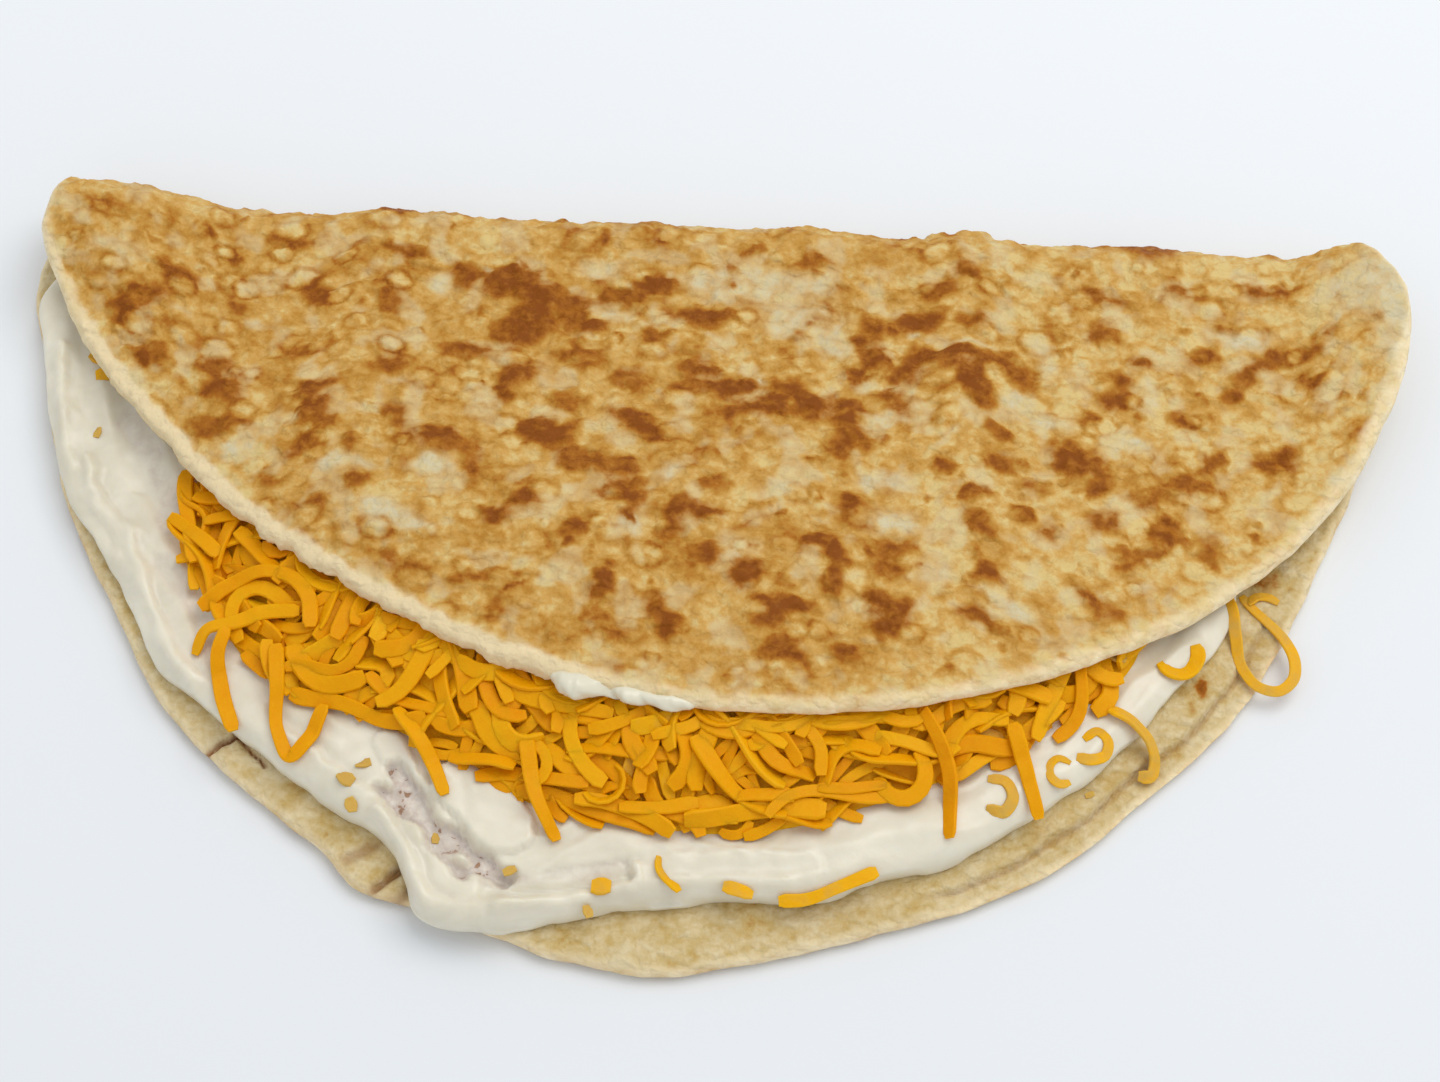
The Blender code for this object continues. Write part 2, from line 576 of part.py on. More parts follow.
def heap_reach():
    """Bearings and radii of the heap's outline about its centre, in rising bearings."""
    arms = HEAP_LOOP - np.array(HEAP_CENTRE)
    bearings = np.arctan2(arms[:, 1], arms[:, 0])
    order = np.argsort(bearings)
    return bearings[order], np.linalg.norm(arms, axis=1)[order]


def heap_shreds(finish):
    """The shreds that show on the front of the heap."""
    rng = random.Random(SHRED_SEED)
    made = []
    for plan in scattered_paths(rng):
        path = on_heap(plan, rng.uniform(0, SHRED_LIFT))
        made.append(strip("shred", path, rng.uniform(*SHRED_WIDTHS), SHRED_THICKNESS, finish))
    for points in HANGING_SHREDS:
        path = on_heap(open_curve(points, HANGING_SPACING), SHRED_LIFT / 2)
        made.append(strip("hanging_shred", path, SHRED_WIDTHS[0], SHRED_THICKNESS, finish))
    return made


def loose_shreds(finish):
    """The loose shreds sunk a little into the cream."""
    made = []
    for width, points in LOOSE_SHREDS:
        plan = open_curve(points, LOOSE_SPACING)
        x, y = plan.T
        top = below_flap(x, y, cream_top(x, y) - LOOSE_SUNK + LOOSE_THICKNESS, LAYER_GAP)
        path = np.stack([x, y, top - LOOSE_THICKNESS / 2], axis=1)
        made.append(strip("loose_shred", path, width * MM, LOOSE_THICKNESS, finish))
    return made


def keep_outer_skin(mesh):
    """Fill the hollows that fusing sealed and drop loose scraps: only the largest skin stays."""
    shape = bmesh.new()
    shape.from_mesh(mesh)
    unseen, skins = set(shape.verts), []
    while unseen:
        skin, edge = set(), [unseen.pop()]
        while edge:
            vertex = edge.pop()
            skin.add(vertex)
            beside = {link.other_vert(vertex) for link in vertex.link_edges} & unseen
            unseen -= beside
            edge += beside
        skins.append(skin)
    skins.sort(key=len)
    bmesh.ops.delete(shape, geom=[v for skin in skins[:-1] for v in skin], context="VERTS")
    shape.to_mesh(mesh)
    shape.free()


def fuse(base, pieces):
    """Join pieces to base as one solid, and take the pieces away."""
    group = bpy.data.collections.new("pieces_of_" + base.name)
    for piece in pieces:
        group.objects.link(piece)
    union = base.modifiers.new("fuse", "BOOLEAN")
    union.operation = "UNION"
    union.operand_type = "COLLECTION"
    union.collection = group
    union.solver = "EXACT"
    fused = bpy.data.meshes.new_from_object(base.evaluated_get(bpy.context.evaluated_depsgraph_get()))
    keep_outer_skin(fused)
    base.modifiers.remove(union)
    base.data = fused
    for piece in pieces:
        bpy.data.objects.remove(piece)
    bpy.data.collections.remove(group)


def cream(finish, shred_finish):
    """The spread: a thick layer with a rounded, wandering edge, and loose shreds on it."""
    plan = (CREAM_LOOP, CREAM_CENTRE, CREAM_INSETS, CREAM_SPACING)
    made = layer("cream_cheese", *plan, cream_floor, cream_top, finish)
    fuse(made, loose_shreds(shred_finish))
    return made


def heap(finish):
    """The grated cheddar: a core under the flap, with the shreds that show in front of it."""
    plan = (HEAP_LOOP, HEAP_CENTRE, HEAP_INSETS, HEAP_SPACING)
    made = layer("cheddar_heap", *plan, heap_floor, heap_top, finish)
    fuse(made, heap_shreds(finish))
    return made


def smear(finish):
    """Cream pushed out along the front of the upper flap's rim: a bead of uneven thickness."""
    bearings = np.linspace(*SMEAR_BEARINGS, SMEAR_STATIONS)
    edge = rim_points(UPPER_CENTRE, UPPER_RIM, bearings)
    turn = np.radians(bearings)
    outward = np.stack([np.cos(turn), np.sin(turn)], axis=1)
    rings = []
    for place, away, lump in zip(edge, outward, SMEAR_LUMPS):
        under = roof(*place) + SMEAR_RAISE
        for k in range(SMEAR_SIDES):
            angle = 2 * math.pi * k / SMEAR_SIDES
            out = GAP + SMEAR_WIDTH * lump / 2 * (1 + math.cos(angle))
            height = under + SMEAR_HEIGHT * lump / 2 * (1 + math.sin(angle))
            rings.append((*(place + away * out), height))
    sides, last = SMEAR_SIDES, SMEAR_SIDES * (SMEAR_STATIONS - 1)
    faces = [tuple(reversed(range(sides))), tuple(last + k for k in range(sides))]
    for station in range(SMEAR_STATIONS - 1):
        faces += ring_faces(sides * station, sides * (station + 1), sides)
    return mesh_object("cream_smear", np.array(rings), faces, finish)


def clear_scene():
    for one in list(bpy.data.objects):
        bpy.data.objects.remove(one)


def main():
    clear_scene()
    baked = material("baked_bread", (0.52, 0.28, 0.085), 0.7)
    spread = material("cream_cheese", (0.76, 0.71, 0.55), 0.4)
    cheddar = material("cheddar", (0.65, 0.29, 0.01), 0.45)
    bread(baked)
    cream(spread, cheddar)
    heap(cheddar)
    smear(spread)


main()
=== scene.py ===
"""The looks of a griddled flatbread folded over cream cheese and grated cheddar.

The fold lies along X at the back, the open rim faces the front (-Y) and the bread rests on z = 0.
Lengths are in metres, except that lists of places on the food are in millimetres. Those places lie
in the plan of the outlines, whose middle is moved over the origin when a mesh is made.
"""

import math
import random

import bmesh
import bpy
import numpy as np
from bpy.props import FloatProperty, FloatVectorProperty, IntProperty, PointerProperty
from mathutils import Euler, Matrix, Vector
from mathutils.geometry import delaunay_2d_cdt


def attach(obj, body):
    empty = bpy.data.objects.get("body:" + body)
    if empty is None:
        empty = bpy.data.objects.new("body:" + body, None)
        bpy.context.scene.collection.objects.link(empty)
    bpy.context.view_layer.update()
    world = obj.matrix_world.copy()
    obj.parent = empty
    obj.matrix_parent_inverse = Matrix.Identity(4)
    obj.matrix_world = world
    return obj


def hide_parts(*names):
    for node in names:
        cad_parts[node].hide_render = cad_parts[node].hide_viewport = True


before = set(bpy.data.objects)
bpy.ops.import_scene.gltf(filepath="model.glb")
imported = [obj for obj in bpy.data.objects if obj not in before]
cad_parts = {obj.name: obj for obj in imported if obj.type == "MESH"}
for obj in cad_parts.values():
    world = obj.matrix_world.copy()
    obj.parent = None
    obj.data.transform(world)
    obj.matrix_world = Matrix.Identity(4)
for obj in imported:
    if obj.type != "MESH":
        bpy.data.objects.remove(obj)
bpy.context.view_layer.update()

bl_info = {
    "name": "Cheese chapati",
    "version": (1, 0, 0),
    "blender": (4, 5, 0),
    "location": "3D View > Sidebar > Chapati",
    "description": "Bakes the folded flatbread, spreads its cream cheese and strews its cheddar",
    "category": "Add Mesh",
}

MM = 0.001
PLAN_MIDDLE = (-0.7 * MM, 1.9 * MM)

# ----- The form, as the solids have it -----

BREAD_THICKNESS = 3.0 * MM
FOLD_Y = 51.2 * MM
FOLD_REACH = 5.0 * MM
FOLD_ARC = math.pi * FOLD_REACH
FOLD_RISE = 3.6 * MM
END_RISE = 1.9 * MM
END_SET_BACK = 2.6 * MM
END_NARROWED_OVER = 10 * MM
# For the left and the right end: how much narrower the sheet is there, and from where to where it
# goes over into the end.
END_NARROWING = (2.5 * MM, 8.6 * MM)
END_FROM, END_TO = (68 * MM, 82 * MM), (94 * MM, 97 * MM)
# How far in mm the fold wanders back along X in mm.
FOLD_WANDER = (
    (-100, 0.3), (-80, 0.4), (-66, 0), (-58, 0.4), (-52, 1.6), (-44, 1.1), (-30, 0.6), (-14, 0.9), (4, 0.9),
    (13, 1.2), (22, 0.5), (30, 0.7), (36, 1.4), (42, 0.5), (60, 0.1), (80, 0), (100, 0),
)
RIM_ROUND = 1.3 * MM
FLAT_CENTRE = (0.0, 61 * MM)

# Bearing in degrees and radius in mm of each flap's rim, seen from above.
LOWER_CENTRE = (0.0, 42 * MM)
LOWER_RIM = (
    (-188, 102.2), (-182, 101.8), (-175, 98.9), (-168, 97.7), (-162, 97.4), (-150, 95.8), (-138, 97),
    (-124, 96.4), (-121, 96.7), (-118, 98.2), (-115.5, 98.9), (-112.5, 98), (-110, 96.8), (-105, 97.7),
    (-97, 98.6), (-91, 98.8), (-86, 97.3), (-79, 95.7), (-70, 95), (-62, 95.3), (-55, 94.6), (-49, 93.5),
    (-42, 93.8), (-35, 93.8), (-28, 93.2), (-18, 93.5), (-10, 95.2), (6, 101.6),
)
UPPER_CENTRE = (0.0, 75 * MM)
UPPER_RIM = (
    (-166, 103.2), (-160, 101.8), (-151, 99.4), (-143, 97.2), (-132, 96.2), (-119, 95.5), (-107, 96.8),
    (-94, 98.4), (-77, 100.7), (-58, 103.2), (-45, 105.2), (-31, 106.7), (-22, 106), (-14, 104.5),
)
LOWER_BEARINGS, UPPER_BEARINGS = (-186, 6), (-166, -14)
RIM_SAMPLES = 160
UPPER_EDGE_SAMPLES = 153
# Height in mm of the upper flap's rim along X in mm.
UPPER_RIM_HEIGHT = (
    (-101, 12), (-96, 10.4), (-88, 9.7), (-78, 10.2), (-68, 11.4), (-56, 13), (-40, 14.8), (-20, 15.6),
    (0, 15.8), (22, 15.2), (42, 13.6), (56, 11.4), (68, 9), (78, 7.2), (88, 7), (96, 8.8), (101, 11.6),
)
UPPER_RISE_FROM, UPPER_RISE_TO = 0.04, 0.8
SHORTEST_FLAP = 14 * MM

LEDGE_WIDTH = 3.4 * MM
# Amount and size of the swellings along the ledge.
LEDGE_SWELLS = ((0.7 * MM, 9 * MM), (0.15 * MM, 2 * MM))
LEDGE_SLOPE = 0.6 * MM
CREASE_WIDTH = 0.35 * MM
CREASE_DEPTH = 0.35 * MM
LEDGE_DROP = 1.1 * MM
LEDGE_BEARINGS = (-72, -66, -33, -26)

GAP = 0.3 * MM
LAYER_GAP = 0.5 * MM

CREAM_THICKNESS = 4.4 * MM
CREAM_SHARE = 0.48
CREAM_EDGE_WALL = 1.3 * MM
CREAM_WALL_SHARE = 0.6
CREAM_EDGE_ROUND = 3.2 * MM
CREAM_FLOOR = BREAD_THICKNESS + GAP
CREAM_CENTRE = (-4 * MM, 10 * MM)
CREAM_OUTLINE = (
    (-99.5, 43), (-98, 33), (-95, 20), (-90.5, 9), (-84.5, 0), (-79.5, -7), (-75, -16), (-67, -23),
    (-57, -30.5), (-48, -36.5), (-40.5, -41), (-37, -46.5), (-34.5, -51), (-28, -53), (-18, -51.3),
    (-8, -48.8), (4, -47.2), (15, -47), (26, -43.5), (38, -39), (47, -32.5), (57, -24), (65, -14),
    (72.5, -4.5), (75, 6), (72, 28), (54, 43), (0, 47), (-60, 47), (-90, 50),
)

HEAP_CENTRE = (-5 * MM, 0.0)
HEAP_OUTLINE = (
    (-74, 3), (-68, -8), (-61, -17), (-50, -23), (-38, -27), (-22, -35.5), (-4, -39), (14, -37.5),
    (31, -31), (43, -25), (53, -18), (61, -8), (63, 12), (48, 32), (0, 38), (-48, 37), (-70, 32), (-72, 15),
)
HEAP_SLOPE = 15 * MM
HEAP_EDGE_WALL = 0.7 * MM
HEAP_LEAST = 0.4 * MM
HEAP_WALL_SHARE = 0.5
CORE_DROP = 0.8 * MM
CORE_DROP_WITHIN = 7 * MM
CREAM_EDGE_POINTS, HEAP_EDGE_POINTS = 900, 500

# ----- What lies where on the food, in mm -----

# Puffed blisters of the upper flap: plan x, y, radius and height.
BLISTERS = (
    (36, 29, 10, 1.1), (-27, 41, 9, 0.7), (-55, 20, 7, 0.6), (-27, 27, 6, 0.6), (-38, 15, 6, 0.6),
    (10, 25, 8, 0.6), (-12, 20, 6, 0.5), (22, 37, 7, 0.6), (-2, 7, 6, 0.5), (-24, 5, 6, 0.5),
    (18, -3, 7, 0.7), (27, -9, 6, 0.6), (8, -10, 6, 0.6), (-12, -6, 5, 0.5), (52, 17, 6, 0.6),
    (76, 35, 8, 0.6), (66, 15, 7, 0.6), (60, 33, 6, 0.5), (-81, 40, 8, 0.5), (40, 7, 6, 0.5),
    (-46, 2, 7, 0.5), (-68, 22, 6, 0.5),
)

# Ringed bubbles of the crust: plan x, y, radius and strength.
RINGED_BUBBLES = (
    (32.8, 32.5, 4.8, 1.3), (-68.4, 41.4, 2.2, 1.6), (-60.3, 43.7, 2.4, 1.6), (-64.2, 48, 1.8, 1.3),
    (-72.6, 47.7, 1.6, 1.4), (-83.3, 34.6, 2.6, 1.4), (-46.5, 32.2, 1.8, 1.4), (-46.6, 44.3, 2, 1.3),
    (-44.5, 0.6, 2.2, 1.3), (-28.8, 30.3, 2.4, 1.2), (-51.7, 36.5, 1.8, 1.2), (-56.7, 31.7, 2, 1.3),
    (59.2, 28.8, 1.6, 1.3), (76.6, 41.4, 2.2, 1.2), (67.8, 26.5, 1.5, 1.2), (-78, 41, 2.2, 1.3),
    (-55, 48.5, 1.6, 1.2), (14.7, 42, 1.8, 1.0), (-88, 44, 1.8, 1.2), (88, 33, 2.0, 1.0),
)

# Toasted marks of the upper flap: plan x, y, half length and half width, and then the lean in degrees
# and the strength where they aren't 0 and the usual one.
USUAL_STRENGTH = 0.8
TOASTED_MARKS = (
    (-90, 53, 4.5, 1, 3, 0.5), (-79, 43, 3.5, 1, -15, 0.8), (-83, 39, 5, 1.5, 25, 0.8),
    (-86, 36, 2, 2, 0, 0.6), (-80, 29, 3, 2, -20, 0.6), (-71, 27, 3, 1.5, 0, 0.6),
    (-69, 38, 2.5, 1.5, 0, 0.7), (-58, 40, 1.5, 1.5), (-60, 30, 2.5, 1.5, 0, 0.5), (-69, 23, 3, 2),
    (-69, 18, 3.5, 1.5, 0, 0.7), (-46, 29, 2, 2), (-47, 40, 1.5, 3, 0, 0.6), (-56, 24, 3, 1.5, 0, 0.9),
    (-55, 20, 2, 2), (-54, 17, 1.5, 1.5), (-63, 50, 3.5, 0.7, 0, 0.7), (-46, 50, 4, 0.7), (-37, 45, 2, 2),
    (-32, 45, 2.5, 2, 0, 0.9), (-28, 46, 3, 2, 0, 0.9), (-29, 43, 4.5, 1.5, 0, 1),
    (-24, 42, 4.5, 2, -10, 0.9), (-27, 38, 3.5, 2.5, 20, 0.9), (-29, 35, 3.5, 2, 0, 0.9), (-21, 39, 2, 3),
    (-17, 37, 2, 1), (-14, 43, 3.5, 1.5, -10, 0.8), (-9, 45, 2.5, 1.5, 15, 0.9), (-2, 40, 5, 1, 0, 0.9),
    (-36, 32, 4, 1), (-29, 27, 2, 2, 0, 1), (-27, 29, 2.5, 1.5, 10, 0.8), (-29, 24, 1.5, 2.5),
    (-19, 31, 3, 1.5, 0, 0.6), (-12, 28, 3, 1.5), (-12, 21, 3, 1.5, -15, 0.9), (-8, 19, 3, 1, -15, 0.8),
    (-20, 24, 2, 2, 0, 0.6), (-24, 18, 2, 2, 0, 1), (-21, 16, 2.5, 1.5, -25, 0.8), (-44, 19, 1.5, 2),
    (-38, 16, 4, 1.2, 0, 0.9), (-36, 14, 3.5, 1.5, 0, 0.7), (-9, 36, 1, 1), (-2, 30, 3, 1.5, 0, 0.9),
    (1, 27, 5.5, 1.5), (3, 46, 1, 0.7), (14, 51, 3, 0.7, 0, 0.7), (32, 47, 3, 1.5, 0, 0.9),
    (36, 51, 2.5, 1.5), (31, 41, 2, 2, 0, 1), (28, 40, 3, 1.5, 0, 0.9), (22, 38, 2, 3),
    (23, 34, 2, 1.5, 0, 0.9), (20, 31, 2, 1.5, 30, 0.8), (37, 42, 2.5, 1.5), (27, 31, 1.5, 2),
    (29, 34, 2, 1.5, 30, 0.8), (33, 35, 3, 1, 5, 0.9), (37, 35, 3, 1, -5, 0.8),
    (42, 34, 2.5, 1.5, -20, 0.8), (44, 31, 1.5, 2), (27, 26, 2, 2), (36, 31, 2.5, 2, -25, 0.9),
    (38, 28, 2.5, 2, -30, 1), (32, 32, 2.5, 1.5), (40, 22, 2.5, 1), (2, 27, 1.5, 1), (8, 25, 2, 2, 0, 0.9),
    (15, 25, 3, 2, 0, 1), (11, 28, 3, 1), (20, 24, 2.5, 1, 0, 0.9), (5, 23, 4, 1), (12, 23, 6, 1),
    (17, 18, 2, 1.5), (20, 20, 2.5, 2), (33, 16, 1.5, 1.5, 0, 0.9), (41, 16, 1.5, 1.5, 20, 0.8),
    (50, 18, 2, 2, 0, 1), (53, 18, 1, 1.5), (54, 14, 1.5, 1.5, 0, 0.9), (37, 11, 1.2, 1, 0, 0.9),
    (45, 13, 1.5, 1), (38, 6, 1.5, 1.5), (43, 8, 1.5, 1), (47, 5, 1.2, 1.2), (55, 8, 2, 1.2, 0, 0.9),
    (67, 49, 2.5, 1), (80, 49, 4, 0.7, -5, 0.9), (57, 46, 3, 1, -15, 0.7), (56, 41, 3, 1.5, -15, 0.8),
    (49, 40, 1, 1), (60, 36, 2, 1, 25, 0.9), (58, 31, 1.5, 2.5), (57, 28, 2, 1.5, 0, 0.9), (53, 25, 1.5, 1),
    (70, 37, 2.5, 1.5), (75, 35, 1.5, 1, 0, 0.9), (74, 32, 1, 1.2, 0, 0.9), (79, 37, 4, 1, 15, 0.9),
    (87, 41, 5, 1, 10, 0.6), (85, 35, 1.7, 1.2, 0, 0.6), (66, 26, 1.5, 1), (82, 23, 1.5, 2, -40, 0.8),
    (79, 21, 3, 1, 10, 0.8), (92, 26, 1, 2.5, 0, 0.6), (72, 22, 0.7, 1.5, -20, 0.8),
    (70, 20, 1.5, 2, 20, 0.8), (67, 16, 3, 1.5, 30, 0.8), (62, 13, 4, 1, 5, 0.8), (63, 7, 1.5, 3, -40, 0.8),
    (60, 3, 3.5, 1, 15, 0.8), (70, 6, 2.5, 2, 0, 0.6), (-71, 17, 3, 1.2, 0, 0.6), (-50, 14, 1, 1.5),
    (-57, 14, 1.5, 1.5, -15, 0.9), (-32, 10, 1.2, 3.5, 0, 0.6), (-28, 3, 1.5, 1, 20, 1),
    (-25, 5, 3, 1, 20, 0.9), (-60, 9, 3.5, 1, 0, 0.5), (-48, 8, 2, 1, 0, 0.6), (-54, 5, 2, 1, 0, 0.6),
    (-43, -4, 1.5, 1.5), (-38, -5, 2, 0.8, 0, 0.6), (-27, -11, 2, 1.7, 0, 0.5), (-18, 13, 2.5, 1.5, 0, 0.9),
    (-13, 12, 3, 1.5, -10, 0.8), (-11, 8, 3, 1.5), (-10, 4, 1, 1, 0, 1), (1, 10, 1.5, 1),
    (-3, 5, 1.5, 1.5, 0, 0.9), (0, 5, 2, 1.5), (-4, 2, 1.5, 1), (-17, 1, 1.5, 1.5), (-13, -7, 1.5, 2, 0, 1),
    (-6, -10, 1.2, 2, 0, 0.9), (-4, -13, 1.5, 1.5, 0, 0.9), (-10, -14, 3, 1.2, 0, 0.5), (1, -2, 2, 1.5),
    (6, -4, 2, 2, -40, 0.9), (11, -9, 2, 1.5, 0, 1), (14, -9, 2, 1), (9, -12, 1.5, 1), (9, -16, 1, 0.6),
    (13, -16, 2.5, 1.5), (20, -16, 1.7, 1, 0, 0.7), (16, 1, 2, 1.5, 0, 0.9), (20, 8, 1, 1.5),
    (18, -2, 1.5, 2.5), (18, -5, 1.5, 1.5, 0, 1), (39, -2, 1.5, 1), (26, -1, 2.5, 3, 0, 0.6),
    (24, -8, 1.5, 2, 0, 1), (27, -9, 1.5, 2, 0, 0.9), (25, -12, 1.5, 1.5, 0, 1), (37, -8, 2.5, 1, -15, 0.9),
    (39, -10, 3.2, 1.4, 0, 0.6), (53, -4, 1.5, 1, -30, 0.8), (55, -6, 2, 1.4, 0, 0.6),
)

# Floury pale places of the upper flap, as above.
PALE_MARKS = (
    (-2, 46, 4, 2.5, 0, 0.9), (12, 41, 5.5, 3, 0, 1), (8, 46, 8, 3.5), (16, 37, 4, 2, -20, 0.8),
    (-40, 44, 3, 1.5, 0, 0.7), (-44, 25, 3, 1, 0, 0.6), (-17, 48, 4.5, 2, 0, 0.7),
    (-24, 28, 1.5, 3.5, 0, 0.5), (-14, 39, 3, 1.5, 0, 0.6), (21, 29, 2, 1.5), (24, 23, 3.5, 1),
    (36, 38, 4, 0.7), (43, 28, 1.5, 1.5, 0, 0.7), (48, 24, 3, 2, 0, 0.6), (47, 34, 1.5, 3),
    (73, 41, 3.5, 1.5, 0, 1), (77, 41, 3.5, 2, 0, 0.9), (62, 31, 1.5, 3, 0, 0.7), (60, 21, 3, 1.5),
    (88, 20, 1.5, 1.5, 0, 0.7), (89, 49, 2.5, 1.5, 0, 0.7), (-66, 13, 3, 1.5), (-50, 11, 4.5, 1, 0, 0.9),
    (-43, 3, 4, 2, 0, 1), (-38, 11, 3, 1.5), (24, 12, 3.5, 2), (26, 5, 3.5, 2.5, 0, 0.9), (32, -2, 2.5, 3),
    (40, -5, 3, 1, 0, 0.9), (44, -7, 2, 1.5, 0, 0.9), (60, -1, 2, 1, 0, 0.6), (-88, 47, 3.5, 1.5, 0, 0.7),
    (95, 50, 5, 5, 0, 1), (98, 42, 3, 5, 0, 1), (-66, 35, 2, 1), (-10, 3, 2, 4, -30, 0.8),
    (-34, 46.6, 0.8, 0.6, 0, 1), (29, 38, 0.8, 0.6, 0, 1), (6.5, 28.2, 0.6, 0.6, 0, 1),
    (-6, 11, 1.5, 3, -30, 0.7), (10, 10, 3.5, 1.5, 0, 0.6), (5, 0, 3, 2, 0, 0.6),
    (-82, 25, 1, 3.5, 20, 0.5),
)

# Flakes that stand out of the fold's crest: x, how far past the fold's start, radius and height.
CREST_FLAKES = (
    (-59.5, 7.6, 2.2, 0.9), (-43, 8, 3.4, 0.4), (36.7, 8.4, 3.2, 0.9), (32, 9, 1.8, 0.6), (41, 7.2, 2, 0.5),
    (12, 8.6, 2.4, 0.4), (-12, 7.8, 3, 0.35), (62, 8.2, 3, 0.35), (-30, 8.6, 2, 0.35),
)

# Toasted spots on the lower flap's face at the right, as above.
LOWER_MARKS = (
    (69.5, -12, 1.2, 1.6, 20, 0.7), (68, -15, 0.8, 1, 0, 0.5), (79, 6, 2.2, 3, 20, 0.55),
    (40, -46, 3, 1, 20, 0.3),
)

# Cracks of the lower flap's rim: start, end, half width and depth. Painted shade darkens each of them.
CRACKS = (
    ((-67, -29), (-62.5, -25.6), 0.35, 1.3),
    ((-62.5, -25.6), (-58, -30), 0.25, 0.6),
    ((-41.5, -47), (-37.5, -43.4), 0.6, 1.4),
    ((-45.5, -43), (-42, -40.8), 0.9, 0.6),
    ((-38.8, -49), (-36, -46.5), 0.8, 0.7),
)

# Ridges of the spread, and its hollows with a height below 0: points, height and half width.
CREAM_RIDGES = (
    (((-95.5, 33), (-93.5, 24), (-92.5, 18), (-91, 13)), 1.3, 1.1),
    (((-88.5, 15), (-86, 8), (-81, 3), (-77, -6), (-74, -13), (-69, -20)), 1.3, 1.2),
    (((-86.5, 12), (-83.5, 6), (-79, 0), (-75, -8)), -0.6, 1.0),
    (((-92, 8), (-87, 3.5), (-82.5, -1)), 0.6, 0.8),
    (((-85, 22), (-80, 14), (-76, 6)), -0.9, 3.0),
    (((-70, -3), (-69, -9)), -0.5, 2.0),
    (((-41.5, -37.5), (-38, -42.5), (-36.2, -47), (-33.4, -50.8)), 1.5, 0.9),
    (((-38.8, -38), (-35.6, -42.5), (-34, -46.5), (-31, -49.5)), -0.8, 0.8),
    (((-33, -50.5), (-28, -51.3), (-23.5, -50.2)), 0.5, 1.6),
    (((-24, -50.4), (-15, -49.4), (-7, -47.2)), 1.3, 0.9),
    (((-7, -47.2), (4, -45.7), (14, -45.5)), 0.8, 1.0),
    (((-26, -48.2), (-16, -47.4), (-7.5, -45.4)), -1.1, 0.7),
    (((-6.3, -43.4), (-6, -46.6)), 0.6, 0.6),
    (((-7.6, -43.2), (-7.4, -46.4)), -0.4, 0.5),
    (((-7, -42.6), (-2.5, -42.6)), -0.35, 0.7),
    (((-2, -41.6), (10, -41.3), (22, -39.5), (36, -34), (47, -27)), 0.5, 2.0),
    (((50, -28), (58, -20), (65, -10), (69, -3)), 0.5, 2.0),
    (((-56, -26), (-49, -31.5), (-43, -35.5)), 0.5, 0.9),
    (((-57.5, -23), (-50, -29), (-44, -33)), -0.35, 0.8),
)
# Slabs of the spread with crisp sides: line, half width and height.
CREAM_SLABS = (
    (((-30, -33.5), (-24, -39)), 4.6, 1.0),
    (((-41, -28), (-38.5, -32.5)), 2.4, 0.5),
    (((-4, -44.5), (6, -43.5), (16, -43)), 2.6, 0.35),
)
# Where the knife thinned the spread, and hollows greyed by painted shade: line, half width, share taken off,
# and how bare it looks; in a hollow, how strong the painted shade is. The second and fourth entries take
# little or nothing off: their lilac grey is painted shade in hollows at the left.
SCRAPED_AND_HOLLOW_SHADE = (
    (((-41, -32.5), (-37, -36), (-33, -40.5), (-28.5, -43.8), (-24, -45.3)), 2.9, 0.4, 1.0),
    (((-84, 22), (-79, 14), (-75, 6)), 3.0, 0.0, 0.5),
    (((-26, -46.6), (-16, -45.6), (-8, -44)), 1.6, 0.1, 0.45),
    (((-75, -1), (-70, -9), (-65, -16)), 2.4, 0.1, 0.35),
)

HANGING_SHREDS = (
    ((-75, 5), (-71, 2), (-67, -1.5)),
    ((-69, -9), (-65, -6), (-61, -4.5), (-56.6, -5.2), (-53.6, -8.3), (-52.7, -13)),
    ((-69, -15.7), (-67.6, -12.7), (-63.6, -11.7), (-59.4, -10.3), (-54.6, -10.3)),
    ((-64.5, -12.8), (-65.4, -16.2), (-64.4, -21.4), (-62.2, -26.8)),
    ((-57.4, -15), (-56.7, -20), (-56, -27), (-53.7, -30.6), (-51.9, -28.4), (-49.9, -23.4)),
    ((-39.9, -24), (-34.8, -30.5), (-32.4, -35.5)),
    ((-22, -28), (-20, -36), (-17, -41)),
    ((30.4, -21), (34.4, -28.4), (35, -38)),
    ((43, -22), (45.4, -29), (47, -34)),
)
# Loose shreds that lie on the cream, each with its width.
LOOSE_SHREDS = (
    (1.6, ((40, -28.9), (42.4, -29.3), (43.4, -31.4), (42.2, -33.5), (39.8, -33.3))),
    (1.2, ((51.2, -25.7), (49.6, -25.1), (48.4, -26.3), (48.4, -27.9), (49.7, -28.9), (51.1, -28.4))),
    (1.5, ((53, -22), (54.8, -20.7), (56.3, -22.3), (56, -24), (54, -25), (52, -24.7))),
    (2.0, ((56.4, -17.6), (60, -19.2), (62.2, -21.2), (63, -23.4), (62.4, -25.3), (60.8, -25.3))),
    (2.0, ((68.5, -6.5), (68.9, -8), (68.3, -9.6), (66.5, -11), (64.8, -10.8), (63.5, -9.6))),
    (1.6, ((-3.3, -42.6), (-3.1, -44.3), (-0.4, -47.3))),
    (1.8, ((12.7, -47.4), (16.6, -46.8), (20.8, -45), (25.6, -42.7))),
    (2.6, ((-12, -47.1), (-9.4, -47.1))),
    (1.7, ((5.3, -46.2), (9.3, -47))),
    (1.6, (
        (71.8, 4), (73.8, 0.5), (74.5, -4), (75.6, -8.6), (77.6, -11), (80.3, -11.5), (82.4, -9.6),
        (82.7, -6.8), (81.4, -3.6), (79, -0.8), (77, 1.2), (75.6, 3),
    )),
    (1.4, ((76.4, 1.7), (77.8, 2.9), (79.2, 3), (80.8, 2.2))),
    (2.4, ((-90.8, 32.5), (-89, 31.8), (-86, 33))),
    (2.2, ((-89.5, 28.6), (-87.3, 29), (-84.5, 30))),
)
